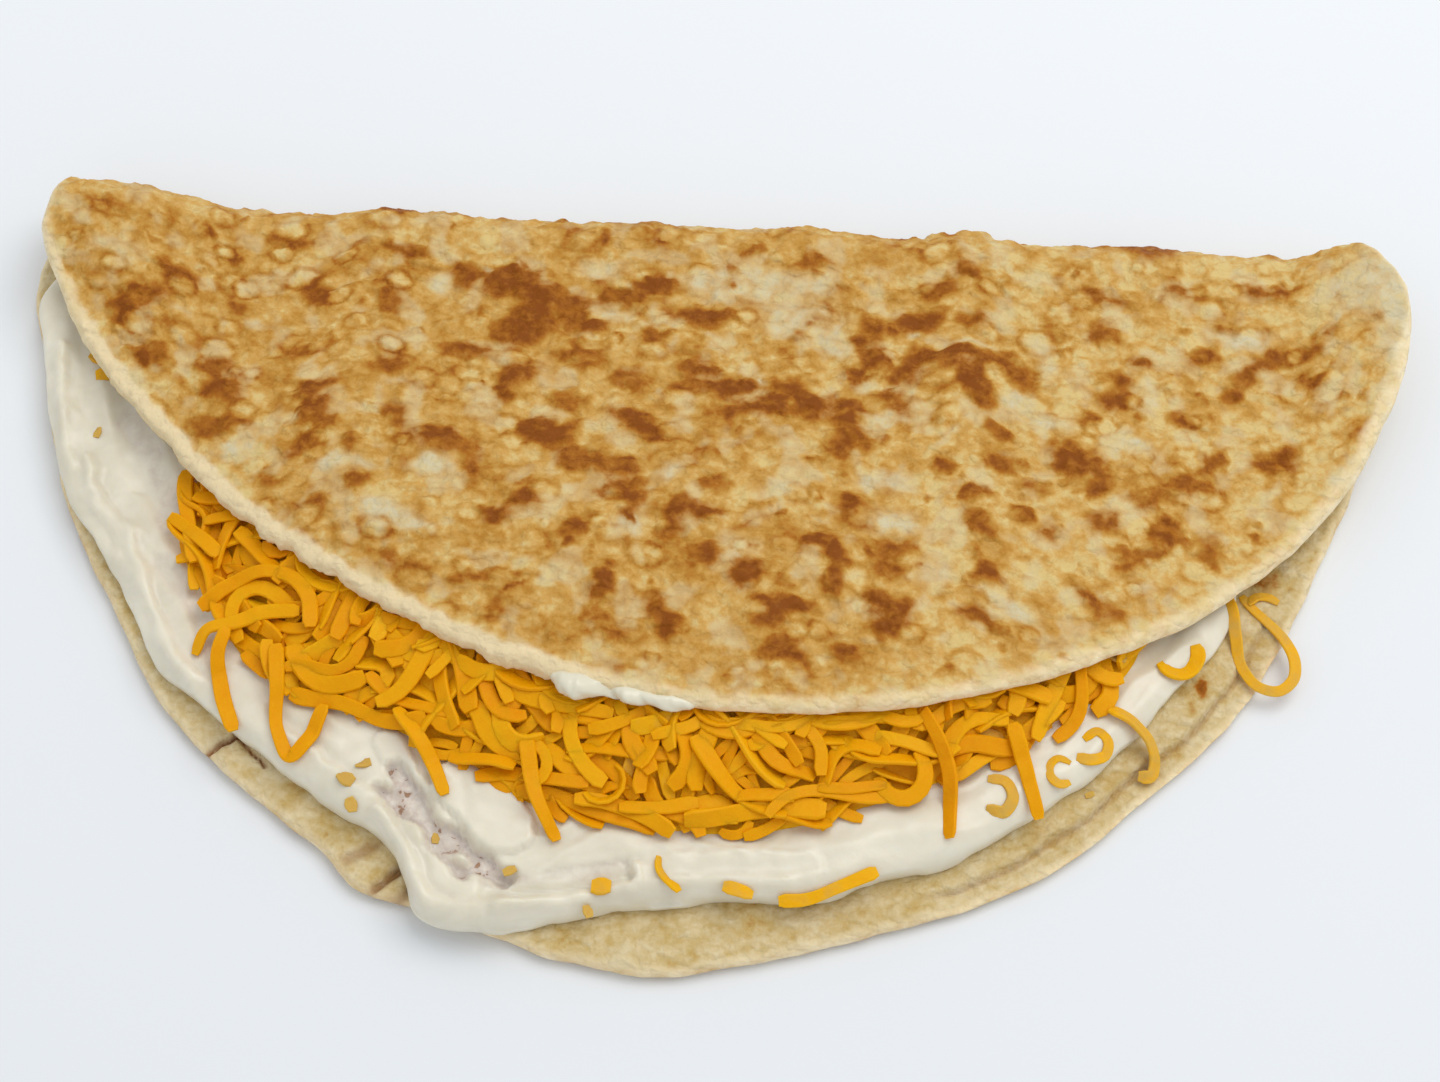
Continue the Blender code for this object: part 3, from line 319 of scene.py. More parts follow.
# Small bits pressed into the cream: plan x, y and width.
PRESSED_BITS = (
    (-44, -31, 1.8), (-46, -33.5, 2.0), (-45, -37, 1.7), (-33.4, -40.6, 1.2), (-23, -45.3, 1.5),
    (-12.3, -50.2, 1.4), (-88, 19.5, 1.4), (54.2, -28.4, 1.1), (57.6, -10.2, 1.9),
)

SMEAR_BEARINGS = (-101.5, -89)
SMEAR_WIDTH = 2.0 * MM
SMEAR_HEIGHT = 1.9 * MM
SMEAR_RAISE = 0.7 * MM
SMEAR_OVERLAP = 1.2 * MM
SMEAR_STATIONS, SMEAR_SIDES = 90, 18
SMEAR_BLUNTNESS, SMEAR_END_SIZE = 12, 0.25
SMEAR_ROUGHNESS = 0.6 * MM
SMEAR_LUMPS = (0.9, 1.5, 1.75, 1.3, 0.95, 1.25, 1.1, 0.95, 1.1, 0.8, 0.6)


# ----- Curves, outlines and surfaces of the form -----

def smoothstep(low, high, value):
    """0 below low, 1 above high, and an even ramp between."""
    share = np.clip((value - low) / (high - low), 0.0, 1.0)
    return share * share * (3 - 2 * share)


def smooth_through(stations, where):
    """A smooth curve through (place, value) stations, read at where."""
    places, values = (np.array(column, float) for column in zip(*stations))
    slopes = np.gradient(values, places)
    where = np.clip(where, places[0], places[-1])
    left = np.clip(np.searchsorted(places, where, side="right") - 1, 0, len(places) - 2)
    span = places[left + 1] - places[left]
    t = (where - places[left]) / span
    return (
        (2 * t**3 - 3 * t**2 + 1) * values[left]
        + (t**3 - 2 * t**2 + t) * span * slopes[left]
        + (3 * t**2 - 2 * t**3) * values[left + 1]
        + (t**3 - t**2) * span * slopes[left + 1]
    )


def closed_curve(points, steps=8):
    """A closed Catmull-Rom curve through points."""
    points = np.array(points, float)
    before, after, second = (np.roll(points, shift, axis=0) for shift in (1, -1, -2))
    curve = []
    for t in np.arange(steps) / steps:
        bent = (after - before) * t + (2 * before - 5 * points + 4 * after - second) * t**2
        curve.append(0.5 * (2 * points + bent + (3 * points - before - 3 * after + second) * t**3))
    return np.stack(curve, axis=1).reshape(-1, 2)


def run_along(points):
    """How far along a path each of its points lies."""
    return np.concatenate([[0], np.cumsum(np.linalg.norm(np.diff(points, axis=0), axis=1))])


def along_loop(loop, count):
    """count points spaced evenly round a closed loop."""
    closed = np.vstack([loop, loop[:1]])
    run = run_along(closed)
    stations = np.linspace(0, run[-1], count, endpoint=False)
    return np.stack([np.interp(stations, run, closed[:, k]) for k in (0, 1)], axis=1)


def open_curve(points, spacing):
    """An open smooth curve through plan points in mm, with a point about every spacing."""
    points = np.array(points, float) * MM
    run = run_along(points)
    stations = np.linspace(0, run[-1], max(3, round(run[-1] / spacing) + 1))
    if len(points) < 3:
        return np.stack([np.interp(stations, run, points[:, k]) for k in (0, 1)], axis=1)
    return np.stack([smooth_through(list(zip(run, points[:, k])), stations) for k in (0, 1)], axis=1)


def drawn_in(loop, centre, inset):
    """The loop moved towards its centre by inset, one length for all or one for each point."""
    arms = loop - np.array(centre)
    length = np.linalg.norm(arms, axis=1)
    return np.array(centre) + arms * (1 - inset / length)[:, None]


def depth_inside(x, y, loop, centre):
    """How far plan points lie inside the loop, measured along the line from its centre."""
    arms = loop - np.array(centre)
    bearings = np.arctan2(arms[:, 1], arms[:, 0])
    order = np.argsort(bearings)
    reach = np.linalg.norm(arms, axis=1)[order]
    away_x, away_y = x - centre[0], y - centre[1]
    own_reach = np.interp(np.arctan2(away_y, away_x), bearings[order], reach, period=2 * math.pi)
    return own_reach - np.hypot(away_x, away_y)


def rim_points(centre, rim, bearings):
    """Plan points of a flap's rim at these bearings, in degrees."""
    radius = smooth_through(rim, bearings) * MM
    turn = np.radians(bearings)
    return np.stack([centre[0] + radius * np.cos(turn), centre[1] + radius * np.sin(turn)], axis=1)


def inside_rim(centre, rim, x, y):
    """How far plan points lie inside a flap's rim, and their bearings in degrees."""
    away_x, away_y = x - centre[0], y - centre[1]
    bearing = np.degrees(np.arctan2(away_y, away_x))
    bearing = np.where(bearing > 90, bearing - 360, bearing)
    return smooth_through(rim, bearing) * MM - np.hypot(away_x, away_y), bearing


def in_upper(x, y):
    """How far plan points lie under the upper flap, from its rim."""
    return inside_rim(UPPER_CENTRE, UPPER_RIM, x, y)[0]


def end_share(x):
    """0 along the middle of the fold and 1 at its two ends."""
    left, right = (smoothstep(near, far, np.abs(x)) for near, far in zip(END_FROM, END_TO))
    return np.where(x < 0, left, right)


def fold_axis(x):
    """Where along Y the lower flap turns into the fold."""
    return FOLD_Y + smooth_through(FOLD_WANDER, x / MM) * MM + END_SET_BACK * end_share(x)


def fold_rise(x):
    """Half the height between the two flaps at the fold."""
    return FOLD_RISE + END_RISE * end_share(x)


UPPER_EDGE = rim_points(UPPER_CENTRE, UPPER_RIM, np.linspace(*UPPER_BEARINGS, UPPER_EDGE_SAMPLES))


def upper_flap_height(x, y):
    """Height of the upper flap's middle surface; in front of its rim, that of the rim."""
    at_fold = BREAD_THICKNESS / 2 + 2 * fold_rise(x)
    at_rim = smooth_through(UPPER_RIM_HEIGHT, x / MM) * MM
    rim_y = np.interp(x, UPPER_EDGE[:, 0], UPPER_EDGE[:, 1])
    flap = np.maximum(fold_axis(x) - rim_y, SHORTEST_FLAP)
    share = smoothstep(UPPER_RISE_FROM, UPPER_RISE_TO, (fold_axis(x) - y) / flap)
    return at_fold + (at_rim - at_fold) * share


def roof(x, y):
    """Height of the upper flap's underside."""
    return upper_flap_height(x, y) - BREAD_THICKNESS / 2


def sheet_middle(x, q):
    """The bread's middle surface: where the flat dough's point (x, q) lies once folded."""
    axis, rise = fold_axis(x), fold_rise(x)
    turn = np.clip((q - axis) / FOLD_ARC, 0, 1) * math.pi
    upper_y = axis - (q - axis - FOLD_ARC)
    on_lower, on_upper = q <= axis, q >= axis + FOLD_ARC
    y = np.where(on_lower, q, np.where(on_upper, upper_y, axis + FOLD_REACH * np.sin(turn)))
    loop_z = BREAD_THICKNESS / 2 + rise * (1 - np.cos(turn))
    z = np.where(on_upper, upper_flap_height(x, y), loop_z)
    return np.stack([x, y, z], axis=1)


def sheet_inward(x, q):
    """Unit normals of the middle surface, towards the filling."""
    step = 0.2 * MM
    across = sheet_middle(x + step, q) - sheet_middle(x - step, q)
    along = sheet_middle(x, q + step) - sheet_middle(x, q - step)
    normal = np.cross(across, along)
    return normal / np.linalg.norm(normal, axis=1, keepdims=True)


def sheet_place(x, y):
    """The way q along the flat dough of a plan point on the upper flap."""
    axis = fold_axis(x)
    return axis + FOLD_ARC + (axis - y)


def flat_dough_outline(count):
    """The rim of the whole sheet before folding, as points (x, q)."""
    lower = rim_points(LOWER_CENTRE, LOWER_RIM, np.linspace(*LOWER_BEARINGS, RIM_SAMPLES))
    upper = rim_points(UPPER_CENTRE, UPPER_RIM, np.linspace(*reversed(UPPER_BEARINGS), RIM_SAMPLES))
    upper[:, 1] = sheet_place(upper[:, 0], upper[:, 1])
    outline = along_loop(np.vstack([lower, upper]), count)
    from_crest = outline[:, 1] - fold_axis(outline[:, 0]) - FOLD_ARC / 2
    share = np.exp(-((from_crest / END_NARROWED_OVER) ** 2))
    outline[:, 0] -= np.sign(outline[:, 0]) * np.where(outline[:, 0] < 0, *END_NARROWING) * share
    return outline


def ledge(x, y):
    """How much lower the lower rim lies where only its bottom layer is left, and the crease there."""
    inside, bearing = inside_rim(LOWER_CENTRE, LOWER_RIM, x, y)
    inside = inside + rolling(x, y, LEDGE_SWELLS, 21)
    starts, full, fades, ends = LEDGE_BEARINGS
    along = smoothstep(starts, full, bearing) * (1 - smoothstep(fades, ends, bearing))
    across = 1 - smoothstep(LEDGE_WIDTH - LEDGE_SLOPE / 2, LEDGE_WIDTH + LEDGE_SLOPE / 2, inside)
    crease = np.exp(-(((inside - LEDGE_WIDTH + CREASE_WIDTH) / CREASE_WIDTH) ** 2))
    return LEDGE_DROP * along * across, along * crease


def blister_lift(points):
    """How much the puffed blisters lift the upper flap's outside."""
    lift = np.zeros(len(points))
    for x, y, radius, height in BLISTERS:
        away = np.hypot(points[:, 0] / MM - x, points[:, 1] / MM - y) / radius
        lift += height * MM * np.clip(1 - away**2, 0, None) ** 2
    return lift


CREAM_LOOP = along_loop(closed_curve(CREAM_OUTLINE) * MM, CREAM_EDGE_POINTS)
HEAP_LOOP = along_loop(closed_curve(HEAP_OUTLINE) * MM, HEAP_EDGE_POINTS)


def in_cream(x, y):
    """How far plan points lie inside the edge of the spread."""
    return depth_inside(x, y, CREAM_LOOP, CREAM_CENTRE)


def in_heap(x, y):
    """How far plan points lie inside the edge of the heap."""
    return depth_inside(x, y, HEAP_LOOP, HEAP_CENTRE)


def cream_top(x, y):
    """Height of the cream: full in front of the flap, thinner where the flap comes down on it."""
    full = np.clip((roof(x, y) - CREAM_FLOOR) * CREAM_SHARE, 0, CREAM_THICKNESS)
    wall = np.minimum(CREAM_EDGE_WALL, CREAM_WALL_SHARE * full)
    depth = in_cream(x, y)
    share = np.clip(depth / CREAM_EDGE_ROUND, 0, 1)
    return CREAM_FLOOR + wall + (full - wall) * np.sqrt(1 - (1 - share) ** 2)


def heap_top(x, y):
    """Height of the heap's core: up to the upper flap, and sloping down in front of it."""
    bottom = cream_top(x, y) + LAYER_GAP
    space = roof(x, y) - LAYER_GAP - bottom
    wall = np.clip(HEAP_WALL_SHARE * space, HEAP_LEAST, HEAP_EDGE_WALL)
    depth = np.maximum(in_heap(x, y), 0)
    share = np.sin(0.5 * math.pi * np.clip(depth / HEAP_SLOPE, 0, 1))
    drop = CORE_DROP * smoothstep(0, CORE_DROP_WITHIN, -in_upper(x, y))
    return bottom + np.maximum(wall + (space - wall) * share - drop * share, wall)


# ----- Unevenness -----

NOISE_TILE = 128
NOISE_LEAN = math.radians(27)
NOISE_GAIN = 1.6
STREWN_LEAN = 30


def swell(x, y, size, seed, stretch=1.0):
    """Smooth seeded noise between about -1 and 1, one swelling to each size, stretched along x."""
    turns = np.random.default_rng(seed).uniform(0, 2 * math.pi, (NOISE_TILE, NOISE_TILE))
    if stretch == 1.0:
        x, y = (
            x * math.cos(NOISE_LEAN) - y * math.sin(NOISE_LEAN),
            x * math.sin(NOISE_LEAN) + y * math.cos(NOISE_LEAN),
        )
    u, v = x / (size * stretch), y / size
    i, j = np.floor(u).astype(int), np.floor(v).astype(int)
    s, t = u - i, v - j
    fade_s, fade_t = s * s * (3 - 2 * s), t * t * (3 - 2 * t)
    total = np.zeros_like(s)
    for right in (0, 1):
        for up in (0, 1):
            turn = turns[(i + right) % NOISE_TILE, (j + up) % NOISE_TILE]
            slope = np.cos(turn) * (s - right) + np.sin(turn) * (t - up)
            total += slope * (fade_s if right else 1 - fade_s) * (fade_t if up else 1 - fade_t)
    return NOISE_GAIN * total


def rolling(x, y, swells, seed):
    """Swellings on each other, each given by its amount and size, with seeds from this one on."""
    return sum(amount * swell(x, y, size, seed + k) for k, (amount, size) in enumerate(swells))


def crumpled(x, y, size, seed, layers=3):
    """Noise of several sizes on each other, each half as large and strong as the one before."""
    return sum(swell(x, y, size / 2**k, seed + k) / 2**k for k in range(layers))


def marked(x, q, marks, core, edge):
    """0 to 1: how strongly soft-edged oval marks cover points of the flat dough, in metres."""
    clear = np.ones_like(x)
    for mark_x, mark_q, length, width, lean, strength in marks:
        away_x, away_q = x / MM - mark_x, q / MM - mark_q
        reach = edge * max(length, width)
        near = np.nonzero((np.abs(away_x) < reach) & (np.abs(away_q) < reach))[0]
        turn = math.radians(lean)
        along = away_x[near] * math.cos(turn) + away_q[near] * math.sin(turn)
        across = away_q[near] * math.cos(turn) - away_x[near] * math.sin(turn)
        away = np.hypot(along / length, across / width)
        clear[near] *= 1 - strength * (1 - smoothstep(core, edge, away))
    return 1 - clear


def to_sheet(marks):
    """Marks of the upper flap moved from the plan to the flat dough, where y runs the other way."""
    moved = []
    for x, y, length, width, *rest in marks:
        lean, strength = rest or (0, USUAL_STRENGTH)
        moved.append((x, float(sheet_place(x * MM, y * MM)) / MM, length, width, -lean, strength))
    return moved


def strewn_marks(seed, count, low, high, sizes, strengths):
    """Seeded random marks between two corners, in mm."""
    rng = random.Random(seed)
    return [
        (
            *(rng.uniform(*ends) for ends in zip(low, high)), rng.uniform(*sizes) * rng.uniform(1, 2),
            rng.uniform(*sizes), rng.uniform(-STREWN_LEAN, STREWN_LEAN), rng.uniform(*strengths),
        )
        for _ in range(count)
    ]


def near_line(x, y, points, width):
    """0 to 1: a soft-sided band of this half width along a line of plan points in mm."""
    nearest = np.full_like(x, np.inf)
    ends = np.array(points, float) * MM
    for start, end in zip(ends[:-1], ends[1:]):
        step = end - start
        along = np.clip(((x - start[0]) * step[0] + (y - start[1]) * step[1]) / (step @ step), 0, 1)
        away = np.hypot(x - start[0] - along * step[0], y - start[1] - along * step[1])
        nearest = np.minimum(nearest, away)
    return np.exp(-((nearest / (width * MM)) ** 2))


# ----- Meshes -----

MERGED_WITHIN = 1e-8
ROW_SPACING = 0.87


def triangulated(rings, lattice_points):
    """Triangles that fill the first ring, through the other rings and the lattice."""
    points = np.vstack([*rings, lattice_points])
    edges, start = [], 0
    for ring in rings:
        count = len(ring)
        edges += [(start + i, start + (i + 1) % count) for i in range(count)]
        start += count
    made = delaunay_2d_cdt([Vector(p) for p in points], edges, [], 1, MERGED_WITHIN)
    return np.array([tuple(v) for v in made[0]]), [tuple(f) for f in made[2]]


def lattice(loop, centre, spacing, margin, keep=None):
    """Points of an even lattice, at least margin inside the loop, where keep is true."""
    low, high = loop.min(axis=0), loop.max(axis=0)
    rows = np.arange(low[1], high[1], ROW_SPACING * spacing)
    x, y = np.meshgrid(np.arange(low[0], high[0], spacing), rows)
    x[1::2] += spacing / 2
    points = np.stack([x.ravel(), y.ravel()], axis=1)
    kept = depth_inside(points[:, 0], points[:, 1], loop, centre) > margin
    if keep is not None:
        kept &= keep(points)
    return points[kept]


def ring_faces(first, second, count):
    """Quads between two rings of count points that start at these vertex numbers."""
    return [
        (first + i, first + (i + 1) % count, second + (i + 1) % count, second + i)
        for i in range(count)
    ]


def placed(name, data):
    """A new object in the scene."""
    made = bpy.data.objects.new(name, data)
    bpy.context.scene.collection.objects.link(made)
    return made


def face_outwards(mesh):
    """Turn the faces of a closed mesh outwards."""
    shape = bmesh.new()
    shape.from_mesh(mesh)
    bmesh.ops.recalc_face_normals(shape, faces=shape.faces)
    shape.to_mesh(mesh)
    shape.free()


def keep_values(mesh, values):
    """Named values on the points of a mesh."""
    for label, numbers in values.items():
        layer = mesh.attributes.new(label, "FLOAT", "POINT")
        layer.data.foreach_set("value", np.asarray(numbers, dtype=np.float32))


def mesh_piece(name, points, faces, material, values):
    """An object of this closed mesh, with its finish and named values on its points."""
    mesh = bpy.data.meshes.new(name)
    mesh.from_pydata([tuple(p) for p in points - (*PLAN_MIDDLE, 0.0)], [], faces)
    face_outwards(mesh)
    mesh.shade_smooth()
    mesh.materials.append(material)
    keep_values(mesh, values)
    return placed(name, mesh)


def dress(piece, stood_for):
    """Hang the piece on the root body and hide the solid's node that it stands for."""
    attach(piece, "root")
    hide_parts(stood_for)


# ----- Finishes -----

def srgb(red, green, blue):
    """The linear colour of an sRGB one in 0 to 255."""
    shares = [channel / 255 for channel in (red, green, blue)]
    return tuple(c / 12.92 if c <= 0.04045 else ((c + 0.055) / 1.055) ** 2.4 for c in shares)


def node(tree, kind, inputs=None, **settings):
    """A node of this kind, with its settings, its inputs filled by values or linked to sockets."""
    made = tree.nodes.new(kind)
    for label, value in settings.items():
        setattr(made, label, value)
    for label, value in (inputs or {}).items():
        if isinstance(value, bpy.types.NodeSocket):
            tree.links.new(value, made.inputs[label])
        else:
            made.inputs[label].default_value = value
    return made


def reckon(tree, operation, *values, clamp=False):
    """The outcome of an arithmetic operation on values or sockets."""
    made = node(tree, "ShaderNodeMath", dict(enumerate(values)), operation=operation, use_clamp=clamp)
    return made.outputs[0]


def weighed(tree, *terms):
    """The sum of sockets, each times its share."""
    total, *others = (reckon(tree, "MULTIPLY", socket, share) for socket, share in terms)
    for product in others:
        total = reckon(tree, "ADD", total, product)
    return total


def vector(tree, operation, *values, **inputs):
    """The outcome of an operation on vectors or sockets."""
    made = node(tree, "ShaderNodeVectorMath", {**dict(enumerate(values)), **inputs}, operation=operation)
    return made.outputs[0]


def blend(tree, share, first, second, way="MIX"):
    """The second colour laid over the first by a share."""
    made = tree.nodes.new("ShaderNodeMix")
    made.data_type, made.blend_type = "RGBA", way
    for socket, value in zip((made.inputs[0], made.inputs[6], made.inputs[7]), (share, first, second)):
        if isinstance(value, bpy.types.NodeSocket):
            tree.links.new(value, socket)
        else:
            socket.default_value = value if isinstance(value, float) else (*value[:3], 1.0)
    return made.outputs[2]


def ramp(tree, share, stops):
    """A colour for each share, through (place, colour) stops."""
    made = node(tree, "ShaderNodeValToRGB", {"Fac": share})
    elements = made.color_ramp.elements
    for number, (place, colour) in enumerate(stops):
        element = elements[number] if number < 2 else elements.new(place)
        element.position, element.color = place, (*colour[:3], 1.0)
    return made.outputs["Color"]


def point_value(tree, label):
    return node(tree, "ShaderNodeAttribute", attribute_name=label).outputs["Fac"]


def shader_group(name, inputs, output, reckoned):
    """The shader group of this name, made when first asked for, that gives what is reckoned by place."""
    tree = bpy.data.node_groups.get(name)
    if tree:
        return tree
    tree = bpy.data.node_groups.new(name, "ShaderNodeTree")
    for label, value in inputs.items():
        socket = tree.interface.new_socket(label, in_out="INPUT", socket_type="NodeSocketFloat")
        socket.default_value = value
    tree.interface.new_socket(output, in_out="OUTPUT", socket_type="NodeSocketFloat")
    given = tree.nodes.new("NodeGroupInput").outputs
    place = node(tree, "ShaderNodeTexCoord").outputs["Object"]
    node(tree, "NodeGroupOutput", {output: reckoned(tree, given, place)})
    return tree


def mottling():
    """Shader group: soft patches between 0 and 1."""
    def amount(tree, given, place):
        noise = node(tree, "ShaderNodeTexNoise", {
            "Vector": place, "Scale": given["Patches"], "Detail": 3.0, "Roughness": 0.6, "Distortion": 0.4,
        })
        centred = reckon(tree, "SUBTRACT", noise.outputs["Fac"], 0.5)
        spread = reckon(tree, "MULTIPLY", centred, given["Contrast"])
        return reckon(tree, "ADD", spread, 0.5, clamp=True)

    return shader_group("Mottling", {"Patches": 200, "Contrast": 1.0}, "Amount", amount)


def fine_grain():
    """Shader group: the height of a fine crumb, with pits."""
    def height(tree, given, place):
        scale = {"Vector": place, "Scale": given["Grains"]}
        grain = node(tree, "ShaderNodeTexNoise", {**scale, "Detail": 4.0, "Roughness": 0.65})
        cells = node(tree, "ShaderNodeTexVoronoi", scale)
        pits = reckon(tree, "MULTIPLY", cells.outputs["Distance"], given["Pits"])
        return reckon(tree, "ADD", grain.outputs["Fac"], pits)

    return shader_group("Fine grain", {"Grains": 900, "Pits": 0.5}, "Height", height)


def pebbles():
    """Shader group: how far into the gaps between rounded, uneven pebbles of crust a point lies, 0 to 1."""
    def gap(tree, given, place):
        noise = node(tree, "ShaderNodeTexNoise", {"Vector": place, "Scale": given["Size"], "Detail": 2.0})
        centred = vector(tree, "SUBTRACT", noise.outputs["Color"], (0.5, 0.5, 0.5))
        astray = vector(tree, "SCALE", centred, Scale=given["Wander"])
        moved = vector(tree, "ADD", place, astray)
        squashed = vector(tree, "MULTIPLY", moved, (0.6, 1.0, 1.0))
        cells = node(tree, "ShaderNodeTexVoronoi", {"Vector": squashed, "Scale": given["Size"]})
        return reckon(tree, "MULTIPLY", cells.outputs["Distance"], 1.3, clamp=True)

    return shader_group("Pebbles", {"Size": 450, "Wander": 0.002}, "Gap", gap)


def grouped(tree, group, inputs):
    """A shader group placed in a material with its own values."""
    made = tree.nodes.new("ShaderNodeGroup")
    made.node_tree = group
    for label, value in inputs.items():
        made.inputs[label].default_value = value
    return made.outputs[0]


def finish(name, **constants):
    """A new material: its tree, its Principled shader and itself."""
    made = bpy.data.materials.new(name)
    made.use_nodes = True
    shader = made.node_tree.nodes["Principled BSDF"]
    for label, value in constants.items():
        shader.inputs[label.replace("_", " ")].default_value = value
    return made.node_tree, shader, made


def roughen(tree, shader, height, strength, distance):
    """Let a height disturb the shader's surface."""
    bump = node(tree, "ShaderNodeBump", {"Height": height, "Strength": strength, "Distance": distance})
    tree.links.new(bump.outputs["Normal"], shader.inputs["Normal"])


def baked_bread(look):
    """Griddled dough: from pale through golden to dark brown, floury in places, raw at its rim, with painted
    shade in the lower rim's cracks and crease and between the crust's pebbles.
    """
    tree, shader, made = finish(
        "baked_bread", Subsurface_Weight=0.08, Subsurface_Radius=(0.9, 0.5, 0.25), Subsurface_Scale=0.0015,
        Specular_IOR_Level=0.15,
    )
    patches = grouped(tree, mottling(), {"Patches": 330.0, "Contrast": 2.4})
    fine = grouped(tree, mottling(), {"Patches": 1000.0, "Contrast": 2.2})
    gaps = grouped(tree, pebbles(), {"Size": 520.0, "Wander": 0.0025})
    # The gaps between the pebbles brown the colour too: painted shade in the crust's small recesses.
    shift = reckon(tree, "SUBTRACT", weighed(tree, (patches, 0.2), (fine, 0.26), (gaps, 0.26)), 0.39)
    browned = reckon(tree, "ADD", point_value(tree, "toast"), shift, clamp=True)
    colour = ramp(tree, browned, (
        (0.0, look.dough), (1.0, look.char), (0.22, look.golden), (0.46, look.amber), (0.72, look.brown),
    ))
    within = ramp(tree, browned, (
        (0.0, look.inside), (1.0, look.char), (0.4, look.inside_dull), (0.7, look.brown),
    ))
    colour = blend(tree, point_value(tree, "inside"), colour, within)
    flour = reckon(tree, "MULTIPLY", point_value(tree, "pale"), reckon(tree, "ADD", fine, 0.35), clamp=True)
    flour = reckon(tree, "MULTIPLY", flour, reckon(tree, "MULTIPLY_ADD", browned, -1.6, 1.3, clamp=True))
    colour = blend(tree, flour, colour, look.flour)
    rim = reckon(tree, "MULTIPLY", point_value(tree, "rim"), reckon(tree, "ADD", patches, 0.4), clamp=True)
    colour = blend(tree, rim, colour, look.raw)
    torn = reckon(tree, "MULTIPLY", point_value(tree, "torn"), reckon(tree, "ADD", fine, 0.65), clamp=True)
    colour = blend(tree, torn, colour, look.crumb)
    # Painted shade: the cracks and the crease of the lower rim darken towards the darkest brown.
    colour = blend(tree, point_value(tree, "crack_and_crease_shade"), colour, look.char)
    tree.links.new(colour, shader.inputs["Base Color"])
    dry = reckon(tree, "MULTIPLY_ADD", fine, 0.2, 0.5)
    tree.links.new(dry, shader.inputs["Roughness"])
    grain = grouped(tree, fine_grain(), {"Grains": 1100.0, "Pits": 0.4})
    height = reckon(tree, "SUBTRACT", reckon(tree, "MULTIPLY", grain, 0.4), gaps)
    roughen(tree, shader, height, 0.7, 0.0006)
    return made


def spread_cream(look):
    """Cream cheese: warm white, faintly streaked, lilac grey with brown specks where the knife thinned it,
    and lilac grey as painted shade in some hollows.
    """
    tree, shader, made = finish(
        "cream_cheese", Subsurface_Weight=0.35, Subsurface_Radius=(1.0, 0.8, 0.5), Subsurface_Scale=0.002,
        Roughness=0.32,
    )
    patches = grouped(tree, mottling(), {"Patches": 140.0, "Contrast": 1.8})
    colour = blend(tree, patches, look.cream, look.cream_shade)
    # Lilac grey where the knife thinned the spread, and painted shade in the hollows at the left.
    thin_and_hollow_shade = point_value(tree, "scraped_and_hollow_shade")
    specks = grouped(tree, mottling(), {"Patches": 620.0, "Contrast": 3.0})
    scraped_and_hollow_shade = blend(tree, specks, look.scraped_and_hollow_shade, look.scraped_and_hollow_shade_dark)
    colour = blend(tree, thin_and_hollow_shade, colour, scraped_and_hollow_shade)
    bare = reckon(tree, "MULTIPLY_ADD", thin_and_hollow_shade, 4.0, -3.0, clamp=True)
    brown = reckon(tree, "MULTIPLY", reckon(tree, "GREATER_THAN", specks, 0.84), bare)
    colour = blend(tree, brown, colour, look.speck)
    tree.links.new(colour, shader.inputs["Base Color"])
    roughen(tree, shader, grouped(tree, fine_grain(), {"Grains": 500.0, "Pits": 0.2}), 0.25, 0.0002)
    return made


def grated_cheddar(look):
    """Cheddar: each shred its own shade, slightly see-through, with an oily gleam."""
    tree, shader, made = finish(
        "grated_cheddar", Subsurface_Weight=0.3, Subsurface_Radius=(0.6, 0.8, 0.5), Subsurface_Scale=0.0015,
        Roughness=0.5, Specular_IOR_Level=0.1,
    )
    patches = grouped(tree, mottling(), {"Patches": 330.0, "Contrast": 1.6})
    share = weighed(tree, (point_value(tree, "shade"), 0.75), (patches, 0.25))
    colour = ramp(tree, share, (
        (0.0, look.deep), (0.95, look.faded), (0.4, look.cheddar), (0.75, look.light),
    ))
    tree.links.new(colour, shader.inputs["Base Color"])
    roughen(tree, shader, grouped(tree, fine_grain(), {"Grains": 700.0, "Pits": 0.3}), 0.6, 0.0003)
    return made


def studio_floor(look):
    """A matt pale sweep with the faintest unevenness, darker towards the front: painted shade."""
    tree, shader, made = finish("studio_floor", Roughness=0.7, Specular_IOR_Level=0.2)
    patches = grouped(tree, mottling(), {"Patches": 3.0, "Contrast": 0.25})
    place = node(tree, "ShaderNodeTexCoord").outputs["Object"]
    towards_back = node(tree, "ShaderNodeSeparateXYZ", {"Vector": place}).outputs["Y"]
    share = reckon(tree, "MULTIPLY_ADD", towards_back, 3.5, patches, clamp=True)
    # Painted shade: the sweep darkens towards the front.
    tree.links.new(blend(tree, share, look.floor_front_shade, look.floor), shader.inputs["Base Color"])
    return made


# ----- Settings -----

def colour_of(label, text, *channels):
    return FloatVectorProperty(
        name=label, description=text, subtype="COLOR", min=0, max=1, default=srgb(*channels),
    )


def length_of(label, text, millimetres):
    return FloatProperty(name=label, description=text, default=millimetres * MM, unit="LENGTH")


def angle_of(label, text, degrees):
    return FloatProperty(name=label, description=text, default=math.radians(degrees), subtype="ANGLE")


